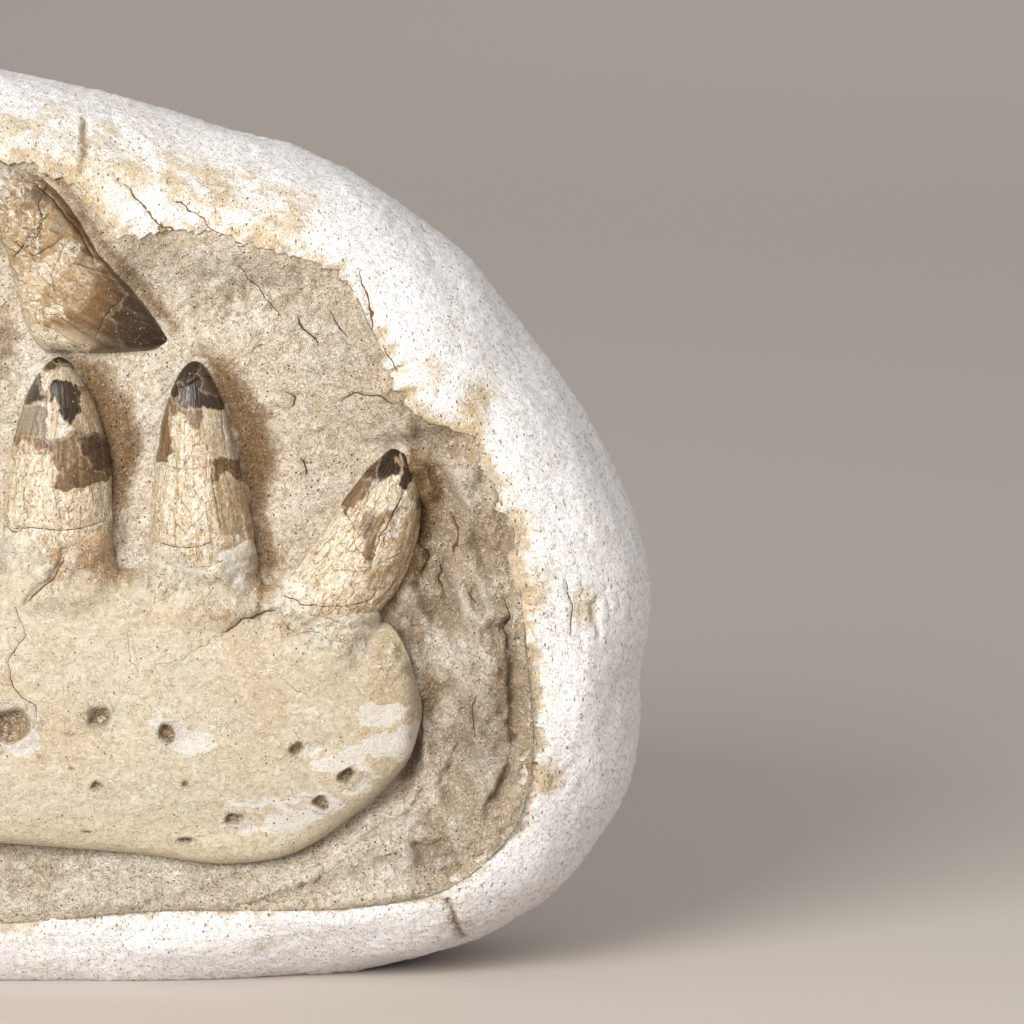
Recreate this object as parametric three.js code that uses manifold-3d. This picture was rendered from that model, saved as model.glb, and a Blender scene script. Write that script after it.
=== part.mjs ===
// A fossil mosasaur jaw: the front end of a lower jaw with seven teeth still in it, and one loose
// rooted tooth above it, bedded in a slab of sandy matrix that a plaster jacket holds.
//
// Millimetres, +Z up. The fossil faces -Y and the jaw's tip points to +X. The jacket stands on a
// flat foot in the plane Z = 0. Every piece is a closed solid, GAP away from the pieces it touches.
import * as THREE from "three";
import { mergeVertices } from "three/addons/utils/BufferGeometryUtils.js";
import Module from "manifold-3d";

const wasm = await Module();
wasm.setup();

// Driving dimensions
const GAP = 0.3; // between a piece and what it is bedded in
const CENTRE = { x: 0, z: 105 }; // the point that outlines are measured round, in the front view
const JACKET_FRONT = 46.5; // how far the plaster's front face stands ahead of the plane Y = 0
const JACKET_BACK = 48.2; // and its back behind it
const BACK_DOME = 0.07; // the share of that which the back loses from its middle to its rim
const ROLL = 35; // width of the plaster's rolled edge, in the front view
const RECESS_FLOOR_Y = 18; // how far back the matrix reaches
const RIM_STEP = 1.5; // the matrix lies this much below the plaster's edge
const MATRIX_FIELD_Y = -34.5; // the matrix surface away from the plaster
const RISE_WIDTH = 24; // width of the slope from the field up to the plaster
const JAW_AXIS_Y = -33; // the mid-depth of the jaw bone
const TOOTH_AXIS_Y = -35.6; // the mid-depth of the crowns in the jaw
const SOCKET_DEPTH = 5; // how far a tooth runs down into the bone
const TOOTH_FLATNESS = 0.86; // a crown's depth as a share of its width
const JAW_SQUARENESS = 0.75; // the power that turns the jaw's section from an oval to a box
const COLLAR = { wide: 1.1, deep: 0.78, halfHeight: 9.5, drop: 8, behind: 1.8 }; // wide, deep: per radius
const PIT = { halfDepth: 4, slant: 0.25, axisY: -46 }; // the nerve holes, slanting back into the bone

// Outlines in the front view, as [x, z] points on smooth closed curves
const JACKET_OUTLINE = [
  [180.4, 89], [178.5, 106], [171.5, 124], [159.5, 144], [144.5, 164], [126, 184.5], [97, 203.5],
  [72, 212], [33, 223.5], [-4, 230.5], [-50, 233.5], [-98, 224], [-137, 201], [-164, 167], [-177.5, 127],
  [-180.3, 88], [-171.5, 50], [-153, 18], [-120, -1], [-60, -8], [0, -9.5], [60, -8], [111, -1],
  [140, 7.5], [156, 18], [168, 35], [175, 51], [177.4, 70],
];
const MATRIX_OUTLINE = [
  [148, 88], [146.5, 104], [144.5, 120], [137.5, 134], [135, 142.6], [129, 141.5], [122, 147],
  [115, 157], [108, 170], [103, 181.5], [87, 186], [64, 193], [48, 191], [36, 203], [17, 211],
  [-20, 213], [-60, 208], [-104, 192], [-134, 164], [-149, 126], [-150, 88], [-142, 50],
  [-124, 28], [-84, 18], [-20, 16], [29, 18], [54, 20.5], [104, 21], [127, 25], [139.5, 33.5],
  [147, 44], [150, 62],
];

// The jaw bone along its length: [x, lower edge z, upper edge z, half of its depth in Y]
const JAW_SECTIONS = [
  [-129, 50, 93, 8], [-122, 39, 102, 12], [-108, 36, 104, 13], [-60, 37, 103, 13.5], [0, 37, 102, 13.5],
  [50, 33.5, 100, 13.5], [77, 31, 98, 13], [90, 33.5, 94, 12.5], [103, 41.5, 90, 12],
  [113, 50, 86.5, 10.5], [120, 59, 80.5, 8], [122.5, 64.5, 75, 5],
];
// Nerve holes in the jaw's side: [x, z, half length, half height]
const FORAMINA = [
  [20, 69, 5.2, 4.4], [41.5, 70, 3.6, 2.6], [59, 65.5, 3.6, 3.2], [91.5, 62.5, 3, 1.8],
  [103.7, 54.5, 2.4, 2.1], [97, 47.6, 2.4, 1.9], [76, 43, 3.2, 1.9], [-18, 67, 4, 2.8],
  [-55, 69, 4.4, 3], [-92, 66, 4, 2.8],
];

// Crowns in the jaw, from its tip back: base centre and tip as [x, z], half width at the base,
// and how far the crown bows sideways
const TEETH = [
  { base: [100, 99.5], tip: [117.8, 137.6], radius: 12.8, bow: 3 },
  { base: [67.5, 112.4], tip: [65.5, 159.4], radius: 13.5, bow: -0.5 },
  { base: [31, 116], tip: [31.8, 160.4], radius: 14.1, bow: 0.4 },
  { base: [-6, 114], tip: [-9, 155], radius: 13.4, bow: -0.8 },
  { base: [-41, 112], tip: [-45, 141], radius: 11, bow: -0.6 },
  { base: [-76, 113], tip: [-82, 157], radius: 14.2, bow: -1.4 },
  { base: [-109, 111], tip: [-117, 147], radius: 12, bow: -1.4 },
];
// The loose tooth: the root's end, the neck between root and crown, and the tip
const LOOSE = {
  root: [-8, 197],
  neck: [27.5, 183],
  tip: [59, 165],
  radius: 19.5,
  bow: 4.5,
  axisY: -34.1,
  flatness: 0.7,
};

// Swells, ledges and hollows of the matrix: [x, z, rise to the front, half size x, half size z]
const MATRIX_LUMPS = [
  [120, 108, 4, 6, 12], [133, 101, 3, 6, 14], [126, 88, -3, 6, 8], [140, 120, -1.6, 6, 9],
  [118, 131, 2.4, 9, 6], [136, 77, 2.6, 5, 13], [128, 60, -2.4, 7, 12], [126, 40, 2.8, 14, 6],
  [104, 30, 2, 14, 5], [95, 168, 2, 16, 9], [80, 176, -2.2, 16, 6], [92, 149, 1.6, 10, 7],
  [48, 138, 1.6, 4, 14], [83, 133, -2.4, 6, 16], [50, 24, 1.8, 22, 4], [20, 156, -2, 6, 12],
  [-26, 144, 2, 8, 14], [-62, 172, 3, 26, 10], [-105, 162, -2.4, 18, 12], [-136, 120, 2.6, 8, 20],
  [-138, 78, -2.2, 7, 18], [-90, 26, 2, 24, 5], [-30, 182, -2, 14, 9],
];
const TRENCH = { depth: 3.5, width: 7 }; // dug into the matrix along the bone's lower edge
const CRUMB = { x: 95.8, z: 142, length: 6.2, height: 3, halfDepth: 2.2, turn: 0.2 };

// How finely the solids are faceted
const OUTLINE_SIDES = 58;
const FIELD_RINGS = 11;
const ROLL_STEPS = 5;
const JAW_SIDES = 14;
const JAW_STATIONS = 20;
const COLLAR_SIDES = 9;
const COLLAR_ROWS = 6;
const CROWN_SIDES = 12;
const CROWN_ROWS = 6;
const LOOSE_SIDES = 14;

// Helpers

// A closed geometry with one vertex at each corner, moved by a function of where it is.
function reshaped(geometry, move = () => {}) {
  geometry.deleteAttribute("normal");
  geometry.deleteAttribute("uv");
  const shape = mergeVertices(geometry, 1e-4);
  const place = shape.attributes.position;
  const v = new THREE.Vector3();
  for (let i = 0; i < place.count; i++) {
    v.fromBufferAttribute(place, i);
    move(v);
    place.setXYZ(i, v.x, v.y, v.z);
  }
  return shape;
}

function solidOf(geometry) {
  return new wasm.Manifold(new wasm.Mesh({
    numProp: 3,
    vertProperties: new Float32Array(geometry.attributes.position.array),
    triVerts: new Uint32Array(geometry.index.array),
  }));
}

function geometryOf(solid) {
  const mesh = solid.getMesh();
  return new THREE.BufferGeometry()
    .setAttribute("position", new THREE.BufferAttribute(mesh.vertProperties, mesh.numProp))
    .setIndex(new THREE.BufferAttribute(mesh.triVerts, 1));
}

// The distance from CENTRE to a closed outline, as a function of direction.
function polarRadius(outline) {
  const samples = 720;
  const reach = new Array(samples);
  const corners = outline.map(([x, z]) => new THREE.Vector3(x, 0, z));
  const curve = new THREE.CatmullRomCurve3(corners, true, "centripetal");
  for (const p of curve.getPoints(samples * 8)) {
    const turn = Math.atan2(p.z - CENTRE.z, p.x - CENTRE.x) / (2 * Math.PI);
    reach[Math.round((turn + 1) * samples) % samples] = Math.hypot(p.x - CENTRE.x, p.z - CENTRE.z);
  }
  return (angle) => {
    const at = (angle / (2 * Math.PI) + 2) * samples;
    const low = Math.floor(at);
    return THREE.MathUtils.lerp(reach[low % samples], reach[(low + 1) % samples], at - low);
  };
}

const jacketRadius = polarRadius(JACKET_OUTLINE);
const matrixRadius = polarRadius(MATRIX_OUTLINE);

// A round lathe about Y turned into a body with an outline in the front view: the function gives
// a vertex's reach from CENTRE and its y from its direction and its radius and height on the lathe.
function fromLathe(profile, sides, section) {
  const points = profile.map(([radius, height]) => new THREE.Vector2(radius, height));
  return reshaped(new THREE.LatheGeometry(points, sides), (v) => {
    const angle = Math.atan2(v.z, v.x);
    const { reach, y } = section(angle, Math.hypot(v.x, v.z), v.y);
    v.set(CENTRE.x + reach * Math.cos(angle), y, CENTRE.z + reach * Math.sin(angle));
  });
}

// Plaster jacket: a loaf with flat faces and a rolled edge, a flat foot, and a deep recess.

// How far the front face stands out, in a direction from CENTRE: hand-smoothed, so never even.
function frontDepth(angle) {
  return JACKET_FRONT * (1 + 0.018 * Math.sin(3 * angle + 1) + 0.012 * Math.sin(5 * angle));
}

// The plaster's front surface at a distance in from its outline.
function plasterFront(angle, inFromEdge) {
  const across = 1 - THREE.MathUtils.clamp(inFromEdge / ROLL, 0, 1);
  return -frontDepth(angle) * Math.sqrt(1 - across ** 2);
}

function loaf() {
  // On the lathe, radius 0 to 1 is the flat face and 1 to 2 the rolled edge.
  const roll = Array.from({ length: 2 * ROLL_STEPS + 1 }, (_, i) => {
    const turn = (i / (2 * ROLL_STEPS)) * Math.PI;
    return [1 + Math.sin(turn), -Math.cos(turn)];
  });
  const profile = [[0, -1], [0.7, -1], ...roll, [0.66, 1], [0.33, 1], [0, 1]];
  return fromLathe(profile, OUTLINE_SIDES, (angle, radius, height) => {
    const flat = jacketRadius(angle) - ROLL;
    const dome = 1 - BACK_DOME * Math.min(radius, 1) ** 2;
    return {
      reach: radius < 1 ? radius * flat : flat + (radius - 1) * ROLL,
      y: height < 0 ? height * frontDepth(angle) : height * dome * JACKET_BACK,
    };
  });
}

function matrixPrism(frontY, backY, inset) {
  const profile = [[0, backY], [1, backY], [1, frontY], [0, frontY]].reverse();
  return fromLathe(profile, OUTLINE_SIDES, (angle, radius, y) => ({
    reach: radius * (matrixRadius(angle) - inset),
    y,
  }));
}

function plasterJacket() {
  const ground = reshaped(new THREE.BoxGeometry(400, 200, 60).translate(0, 0, -30));
  return solidOf(loaf())
    .subtract(solidOf(ground))
    .subtract(solidOf(matrixPrism(-60, RECESS_FLOOR_Y, 0)));
}

// Jaw bone: a rounded section carried along X, with a swollen collar under each tooth.

const jawSpline = [1, 2, 3].map((column) =>
  new THREE.SplineCurve(JAW_SECTIONS.map((row) => new THREE.Vector2(row[0], row[column]))));

function jawBody(grow) {
  const rod = new THREE.CylinderGeometry(1, 1, 1, JAW_SIDES, JAW_STATIONS).rotateZ(-Math.PI / 2);
  return reshaped(rod, (v) => {
    const share = THREE.MathUtils.clamp(v.x + 0.5, 0, 1);
    const [low, high, depth] = jawSpline.map((spline) => spline.getPoint(share));
    const radius = Math.hypot(v.y, v.z);
    const out = radius < 1e-6 ? 0 : Math.sign(v.y) * Math.abs(v.y / radius) ** JAW_SQUARENESS;
    const up = radius < 1e-6 ? 0 : Math.sign(v.z) * Math.abs(v.z / radius) ** JAW_SQUARENESS;
    v.set(
      low.x + (share === 0 ? -grow : 0) + (share === 1 ? grow : 0),
      JAW_AXIS_Y + out * (depth.y + grow),
      (high.y + low.y) / 2 + up * ((high.y - low.y) / 2 + grow),
    );
  });
}

function collar(tooth, grow) {
  const [x, z] = tooth.base;
  const lean = (tooth.tip[0] - x) / (tooth.tip[1] - z);
  return reshaped(new THREE.SphereGeometry(1, COLLAR_SIDES, COLLAR_ROWS)
    .scale(tooth.radius * COLLAR.wide + grow, tooth.radius * COLLAR.deep + grow, COLLAR.halfHeight + grow)
    .translate(x - lean * COLLAR.drop, TOOTH_AXIS_Y + COLLAR.behind, z - COLLAR.drop));
}

function boneSolid(grow) {
  return TEETH.reduce((bone, tooth) => bone.add(solidOf(collar(tooth, grow))), solidOf(jawBody(grow)));
}

function jawBone() {
  const pits = FORAMINA.map(([x, z, halfLength, halfHeight]) =>
    solidOf(reshaped(new THREE.SphereGeometry(1, 8, 5)
      .scale(halfLength, PIT.halfDepth, halfHeight)
      .rotateY(PIT.slant)
      .translate(x, PIT.axisY, z))));
  return [...sockets, ...pits].reduce((bone, tool) => bone.subtract(tool), boneSolid(0));
}

// Teeth: cones of oval section that bulge a little above the base and bow towards the tip.

// Half width as a share of the base's, at a share of the crown's length.
function crownWidth(t) {
  return (1 - t ** 2.1) ** 0.8;
}

function crown(tooth, grow) {
  const base = new THREE.Vector2(...tooth.base);
  const tip = new THREE.Vector2(...tooth.tip);
  const length = base.distanceTo(tip);
  const along = tip.clone().sub(base).normalize();
  const rows = Array.from({ length: CROWN_ROWS }, (_, i) => i / CROWN_ROWS);
  const profile = [
    new THREE.Vector2(0, -SOCKET_DEPTH - grow),
    new THREE.Vector2(tooth.radius * 0.86 + grow, -SOCKET_DEPTH - grow),
    ...rows.map((t) => new THREE.Vector2(tooth.radius * crownWidth(t) + grow, t * length)),
    new THREE.Vector2(tooth.radius * 0.15 + grow, 0.985 * length),
    new THREE.Vector2(0, length + grow),
  ];
  return reshaped(new THREE.LatheGeometry(profile, CROWN_SIDES), (v) => {
    const share = THREE.MathUtils.clamp(v.y / length, 0, 1);
    const side = v.x + tooth.bow * 4 * share * (1 - share);
    v.set(
      base.x + along.x * v.y + along.y * side,
      TOOTH_AXIS_Y - v.z * TOOTH_FLATNESS,
      base.y + along.y * v.y - along.x * side,
    );
  });
}

const sockets = TEETH.map((tooth) => solidOf(crown(tooth, GAP)));

function looseTooth(grow) {
  const neck = new THREE.Vector2(...LOOSE.neck);
  const tip = new THREE.Vector2(...LOOSE.tip);
  const root = new THREE.Vector2(...LOOSE.root);
  const crownLength = neck.distanceTo(tip);
  const rootLength = neck.distanceTo(root);
  const along = tip.clone().sub(neck).normalize();
  const rootRows = [0, 0.2, 0.45, 0.7];
  const crownRows = [0, 0.18, 0.36, 0.54, 0.72, 0.88];
  const profile = [
    new THREE.Vector2(0, -rootLength - grow),
    ...rootRows.map((t) => new THREE.Vector2(
      LOOSE.radius * (0.6 + 0.42 * Math.sin(t * 0.72 * Math.PI)) + grow, -rootLength * (1 - t))),
    ...crownRows.map((t) => new THREE.Vector2(LOOSE.radius * (1 - t) ** 0.7 + grow, crownLength * t)),
    new THREE.Vector2(LOOSE.radius * 0.08 + grow, crownLength * 0.98),
    new THREE.Vector2(0, crownLength + grow),
  ];
  return reshaped(new THREE.LatheGeometry(profile, LOOSE_SIDES), (v) => {
    const share = THREE.MathUtils.clamp(v.y / crownLength, 0, 1);
    const side = v.x + LOOSE.bow * 4 * share * (1 - share);
    v.set(
      neck.x + along.x * v.y + along.y * side,
      LOOSE.axisY - v.z * LOOSE.flatness,
      neck.y + along.y * v.y - along.x * side,
    );
  });
}

// Matrix: a slab whose surface rises to the plaster all round, dug away along the bone's lower
// edge, with the swells of MATRIX_LUMPS.

function lowerEdge(x) {
  const after = Math.max(JAW_SECTIONS.findIndex((row) => row[0] > x), 1);
  const [a, b] = [JAW_SECTIONS[after - 1], JAW_SECTIONS[after]];
  return THREE.MathUtils.lerp(a[1], b[1], (x - a[0]) / (b[0] - a[0]));
}

function matrixSurface(x, z) {
  const angle = Math.atan2(z - CENTRE.z, x - CENTRE.x);
  const inFromRim = matrixRadius(angle) - Math.hypot(x - CENTRE.x, z - CENTRE.z);
  const rimWidth = jacketRadius(angle) - matrixRadius(angle);
  const rimY = plasterFront(angle, rimWidth) + RIM_STEP;
  let y = THREE.MathUtils.lerp(rimY, MATRIX_FIELD_Y, THREE.MathUtils.smoothstep(inFromRim, 0, RISE_WIDTH));
  for (const [lumpX, lumpZ, rise, halfX, halfZ] of MATRIX_LUMPS) {
    y -= rise * Math.exp(-(((x - lumpX) / halfX) ** 2) - ((z - lumpZ) / halfZ) ** 2);
  }
  if (x > JAW_SECTIONS[0][0] && x < JAW_SECTIONS.at(-1)[0]) {
    y += TRENCH.depth * Math.exp(-(((z - lowerEdge(x)) / TRENCH.width) ** 2));
  }
  return y;
}

function matrixSlab() {
  const rings = Array.from({ length: FIELD_RINGS }, (_, i) => [(i + 1) / FIELD_RINGS, -1]);
  return fromLathe([[0, -1], ...rings, [1, 1], [0, 1]], OUTLINE_SIDES, (angle, radius, side) => {
    const reach = radius * (matrixRadius(angle) - GAP);
    const [x, z] = [CENTRE.x + reach * Math.cos(angle), CENTRE.z + reach * Math.sin(angle)];
    return { reach, y: side < 0 ? matrixSurface(x, z) : RECESS_FLOOR_Y - GAP };
  });
}

// The one large crumb of bone in the matrix, fused into its surface.
function crumb() {
  return reshaped(new THREE.SphereGeometry(1, 7, 5)
    .scale(CRUMB.length / 2, CRUMB.halfDepth, CRUMB.height / 2)
    .rotateY(CRUMB.turn)
    .translate(CRUMB.x, matrixSurface(CRUMB.x, CRUMB.z), CRUMB.z));
}

function matrix() {
  const beds = [...sockets, boneSolid(GAP), solidOf(looseTooth(GAP))];
  const slab = solidOf(matrixSlab()).add(solidOf(crumb()));
  return beds.reduce((rest, bed) => rest.subtract(bed), slab);
}

// A cut can leave crumbs: only the largest body is the piece.
function largest(solid) {
  return solid.decompose().reduce((a, b) => (b.volume() > a.volume() ? b : a));
}

const finishes = {
  plaster: { color: 0xece8e0, roughness: 0.9, metalness: 0 },
  matrix: { color: 0xc4b59b, roughness: 0.95, metalness: 0 },
  bone: { color: 0xdcc79d, roughness: 0.65, metalness: 0 },
  enamel: { color: 0xa9865a, roughness: 0.35, metalness: 0 },
};

const fossil = new THREE.Group();

function place(name, geometry, finish) {
  const mesh = new THREE.Mesh(geometry, new THREE.MeshStandardMaterial(finishes[finish]));
  mesh.name = name;
  fossil.add(mesh);
}

place("plaster_jacket", geometryOf(largest(plasterJacket())), "plaster");
place("matrix", geometryOf(largest(matrix())), "matrix");
place("jaw_bone", geometryOf(largest(jawBone())), "bone");
TEETH.forEach((tooth, i) => place(`tooth_${i + 1}`, crown(tooth, 0), "enamel"));
place("loose_tooth", looseTooth(0), "enamel");

export default fossil;
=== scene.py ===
import math

import bpy
import numpy as np
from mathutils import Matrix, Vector


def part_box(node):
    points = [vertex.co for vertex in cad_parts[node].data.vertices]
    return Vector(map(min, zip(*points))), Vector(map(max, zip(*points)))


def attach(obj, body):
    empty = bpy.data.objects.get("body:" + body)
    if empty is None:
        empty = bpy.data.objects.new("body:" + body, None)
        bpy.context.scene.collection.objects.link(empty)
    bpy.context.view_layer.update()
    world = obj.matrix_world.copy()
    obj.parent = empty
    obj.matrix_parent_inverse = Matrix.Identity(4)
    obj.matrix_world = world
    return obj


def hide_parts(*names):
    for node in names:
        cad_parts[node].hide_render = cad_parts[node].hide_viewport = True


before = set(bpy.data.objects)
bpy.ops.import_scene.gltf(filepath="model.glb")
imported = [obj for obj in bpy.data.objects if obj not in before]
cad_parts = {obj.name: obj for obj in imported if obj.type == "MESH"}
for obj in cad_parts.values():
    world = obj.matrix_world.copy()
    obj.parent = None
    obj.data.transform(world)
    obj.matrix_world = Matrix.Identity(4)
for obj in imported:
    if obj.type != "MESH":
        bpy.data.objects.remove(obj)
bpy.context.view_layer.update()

# ---------------------------------------------------------------------------------------------
# Stage, lamps and camera. The slab stands on a wide sheet of pale paper under one large soft lamp
# at its upper left, and is seen from a little above through a long lens. Sizes are in millimetres.

MM = 0.001
PAPER_SIZE = 60000
PAPER_TOOTH = 1.2
VIEW_ELEVATION = math.radians(8)
VIEW_DISTANCE = 3000
VIEW_WIDTH = 256
VIEW_CENTRE = (145, -42, 121)
SENSOR = 36
FARTHEST_SEEN = 50000
# Lamps: name, place, aim, side of the square and watts
LAMPS = [
    ("key lamp", (-744, -1612, 774), (60, 0, 90), 1100, 57),
    ("fill lamp", (1200, -1330, 1090), (60, 0, 90), 1400, 6.5),
    ("backdrop lamp", (500, 2700, 1000), (500, 2900, 0), 1400, 2.2),
]
LAMP_WHITE = "#FFFEFC"
ROOM_GREY = "#F0EEEC"
ROOM_STRENGTH = 0.55


def linear(hex_code):
    """An sRGB hex colour as linear red, green, blue and alpha: each channel c above 0.04045
    becomes ((c + 0.055) / 1.055) to the power 2.4, and a darker one c / 12.92."""
    channels = [int(hex_code[i : i + 2], 16) / 255 for i in (1, 3, 5)]
    return [c / 12.92 if c <= 0.04045 else ((c + 0.055) / 1.055) ** 2.4 for c in channels] + [1]


def add(tree, kind, inputs=None, **settings):
    """Adds a shader node, sets its properties, and fills its inputs, by name or number, with
    values, with hex colours, or with links from other nodes' sockets."""
    node = tree.nodes.new("ShaderNode" + kind)
    for key, value in settings.items():
        setattr(node, key, value)
    for key, value in (inputs or {}).items():
        if isinstance(value, bpy.types.NodeSocket):
            tree.links.new(value, node.inputs[key])
        else:
            node.inputs[key].default_value = linear(value) if isinstance(value, str) else value
    return node


def new_material(name):
    """A material with an empty node tree, and that tree."""
    material = bpy.data.materials.new(name)
    material.use_nodes = True
    material.node_tree.nodes.clear()
    return material, material.node_tree


# Background paper: matt and uncoated, a warm grey with a faint tooth.
paper, tree = new_material("background paper")
coords = add(tree, "TexCoord").outputs["Object"]
fibres = add(tree, "TexNoise", {"Vector": coords, "Scale": 1 / (PAPER_TOOTH * MM), "Detail": 2.0})
bump = add(tree, "Bump", {"Height": fibres.outputs["Fac"], "Strength": 0.12, "Distance": 0.1 * MM})
surface = add(tree, "BsdfPrincipled", {"Base Color": "#C0B7AF", "Roughness": 0.95,
                                       "Normal": bump.outputs["Normal"]})
add(tree, "OutputMaterial", {"Surface": surface.outputs["BSDF"]})

bpy.ops.mesh.primitive_plane_add(size=PAPER_SIZE * MM)
floor = bpy.context.object
floor.name = "floor"
floor.data.materials.append(paper)

for name, place, aim, side, watts in LAMPS:
    light = bpy.data.lights.new(name, "AREA")
    light.size = side * MM
    light.energy = watts
    light.color = linear(LAMP_WHITE)[:3]
    lamp = bpy.data.objects.new(name, light)
    lamp.location = Vector(place) * MM
    lamp.rotation_euler = (Vector(aim) - Vector(place)).to_track_quat("-Z", "Y").to_euler()
    bpy.context.scene.collection.objects.link(lamp)

world = bpy.data.worlds.new("soft room")
bpy.context.scene.world = world
world.use_nodes = True
world.node_tree.nodes["Background"].inputs["Color"].default_value = linear(ROOM_GREY)
world.node_tree.nodes["Background"].inputs["Strength"].default_value = ROOM_STRENGTH

bpy.context.scene.view_settings.view_transform = "Standard"  # plain film, with true colours

camera_data = bpy.data.cameras.new("camera")
camera_data.sensor_width = SENSOR
camera_data.lens = SENSOR * VIEW_DISTANCE / VIEW_WIDTH
camera_data.clip_end = FARTHEST_SEEN * MM
camera = bpy.data.objects.new("camera", camera_data)
bpy.context.scene.collection.objects.link(camera)
bpy.context.scene.camera = camera
away = Vector((0, -math.cos(VIEW_ELEVATION), math.sin(VIEW_ELEVATION)))
camera.location = (Vector(VIEW_CENTRE) + away * VIEW_DISTANCE) * MM
camera.rotation_euler = (-away).to_track_quat("-Z", "Y").to_euler()

# ---------------------------------------------------------------------------------------------
# Jaw bone: the fossil dentary of a mosasaur, one long piece of mineralised bone, half sunk in the
# matrix. Each tooth stands on a raised socket, and nerve holes open along its cleaned side.

JAW_AXIS_Y = -33
JAW_SQUARENESS = 0.6
END_ROUNDING = 4
# Along the jaw: x, lower edge, upper edge, half depth
JAW_SECTIONS = np.array([
    (-129, 50, 93, 8), (-122, 39, 102, 12), (-108, 36, 104, 13), (-60, 37, 103, 13.5),
    (0, 37, 102, 13.5), (50, 33.5, 100, 13.5), (77, 31, 98, 13), (90, 33.5, 94, 12.5),
    (103, 41.5, 90, 12), (113, 50, 86.5, 10.5), (120, 59, 80.5, 8), (122.5, 64.5, 75, 5),
])
# Each tooth, from the tip of the jaw backwards: middle of its base, tip, radius, bow to the right
TEETH = [
    ((100, 99.5), (117.8, 137.6), 12.8, 3), ((67.5, 112.4), (65.5, 159.4), 13.5, -0.5),
    ((31, 116), (31.8, 160.4), 14.1, 0.4), ((-6, 114), (-9, 155), 13.4, -0.8),
    ((-41, 112), (-45, 141), 11, -0.6), ((-76, 113), (-82, 157), 14.2, -1.4),
    ((-109, 111), (-117, 147), 12, -1.4),
]
# Sockets: their width and depth in tooth radii, rise above the tooth's base, height of the rounded
# shoulder, roundness of section, drop of the upper corners, and how far down the tooth's axis they
# start and are whole
SOCKET_WIDTH = 1.1
SOCKET_FRONT = 0.93
SOCKET_RISE = 2.4
SOCKET_SHOULDER = 3
SOCKET_POWER = 2.6
SOCKET_CORNER = 18
SOCKET_ROOT = (-30, -16)
# Webs of bone that fill the gaps between sockets: middle x, top z, half width, half depth
WEBS = [
    (112, 92.5, 9, 9), (84, 102, 11, 9), (49.6, 106, 12, 10.5), (12.5, 105, 12, 10),
    (-23.5, 104, 12, 10), (-58, 104, 12, 10), (-93, 104, 12, 10),
]
# The same for the webs: shoulder, roundness, drop of the corners, and where they start and are whole
WEB_SHOULDER = 11
WEB_POWER = 2.2
WEB_CORNER = 14
WEB_ROOT = (-22, -12)
# Nerve holes: x, z, half width, half height, depth
NERVE_HOLES = [
    (19.4, 67.6, 5.6, 4.4, 4), (41.4, 69.4, 3.4, 2.9, 3.4), (58.6, 65.4, 2.2, 3, 3),
    (91.2, 61.7, 2.5, 1.6, 2.4), (103.9, 54.2, 2.5, 2, 3), (97.2, 47.6, 2.3, 1.8, 2.4),
    (75.2, 43.2, 2.4, 1.6, 2.4), (63.3, 37.9, 2.1, 0.9, 1.6), (40.9, 52.3, 1.7, 1.1, 1.6),
    (62.9, 52.4, 1.2, 1, 1.4), (38.4, 40.6, 1.7, 0.5, 0.8), (34.5, 65, 1.1, 0.5, 0.6),
    (27.2, 59.3, 0.9, 0.4, 0.6), (34.6, 56.8, 0.9, 0.5, 0.6), (-18, 67, 4, 2.8, 3.4),
    (-55, 69, 4.4, 3, 3.4), (-92, 66, 4, 2.8, 3.2), (-34, 50, 1.8, 1.2, 1.6), (-74, 47, 2, 1.3, 1.8),
]
# Soft dents and swells: x, z, half width, half height, rise
BONE_SWELLS = [
    (47, 108.5, 5, 3.6, -3.5), (37, 106, 4, 4, -1), (30, 97, 5, 5, 0.5), (83, 106, 3.4, 5, -4),
    (75, 101, 6, 4, -1.4), (73, 109, 2.4, 5, 1), (94, 92, 12, 2.4, -0.9), (110, 91, 6, 3, -0.8),
    (64, 64, 6.5, 2.6, -0.7), (96, 61.5, 3.6, 1.8, -0.5), (80, 41.6, 3, 1.8, -0.5),
    (46, 68, 3.2, 2.4, -0.6), (22, 62, 6, 2.4, -0.7), (108, 52, 3, 2, -0.4), (60, 58, 26, 9, 0.5),
    (88, 78, 18, 7, 0.5), (30, 82, 12, 8, 0.4), (12, 106, 4, 5, -3.5), (-24, 105, 5, 6, -4.5),
    (-58, 105, 5, 6, -4.5), (-93, 106, 4, 5, -4.5),
]
# Places where the surface is broken and rough: x, z, half width, half height
BONE_BREAKS = [(46, 107, 7, 6), (80, 101, 7, 8), (72, 97, 8, 3), (30, 106, 5, 6), (116, 84, 5, 5)]
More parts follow.
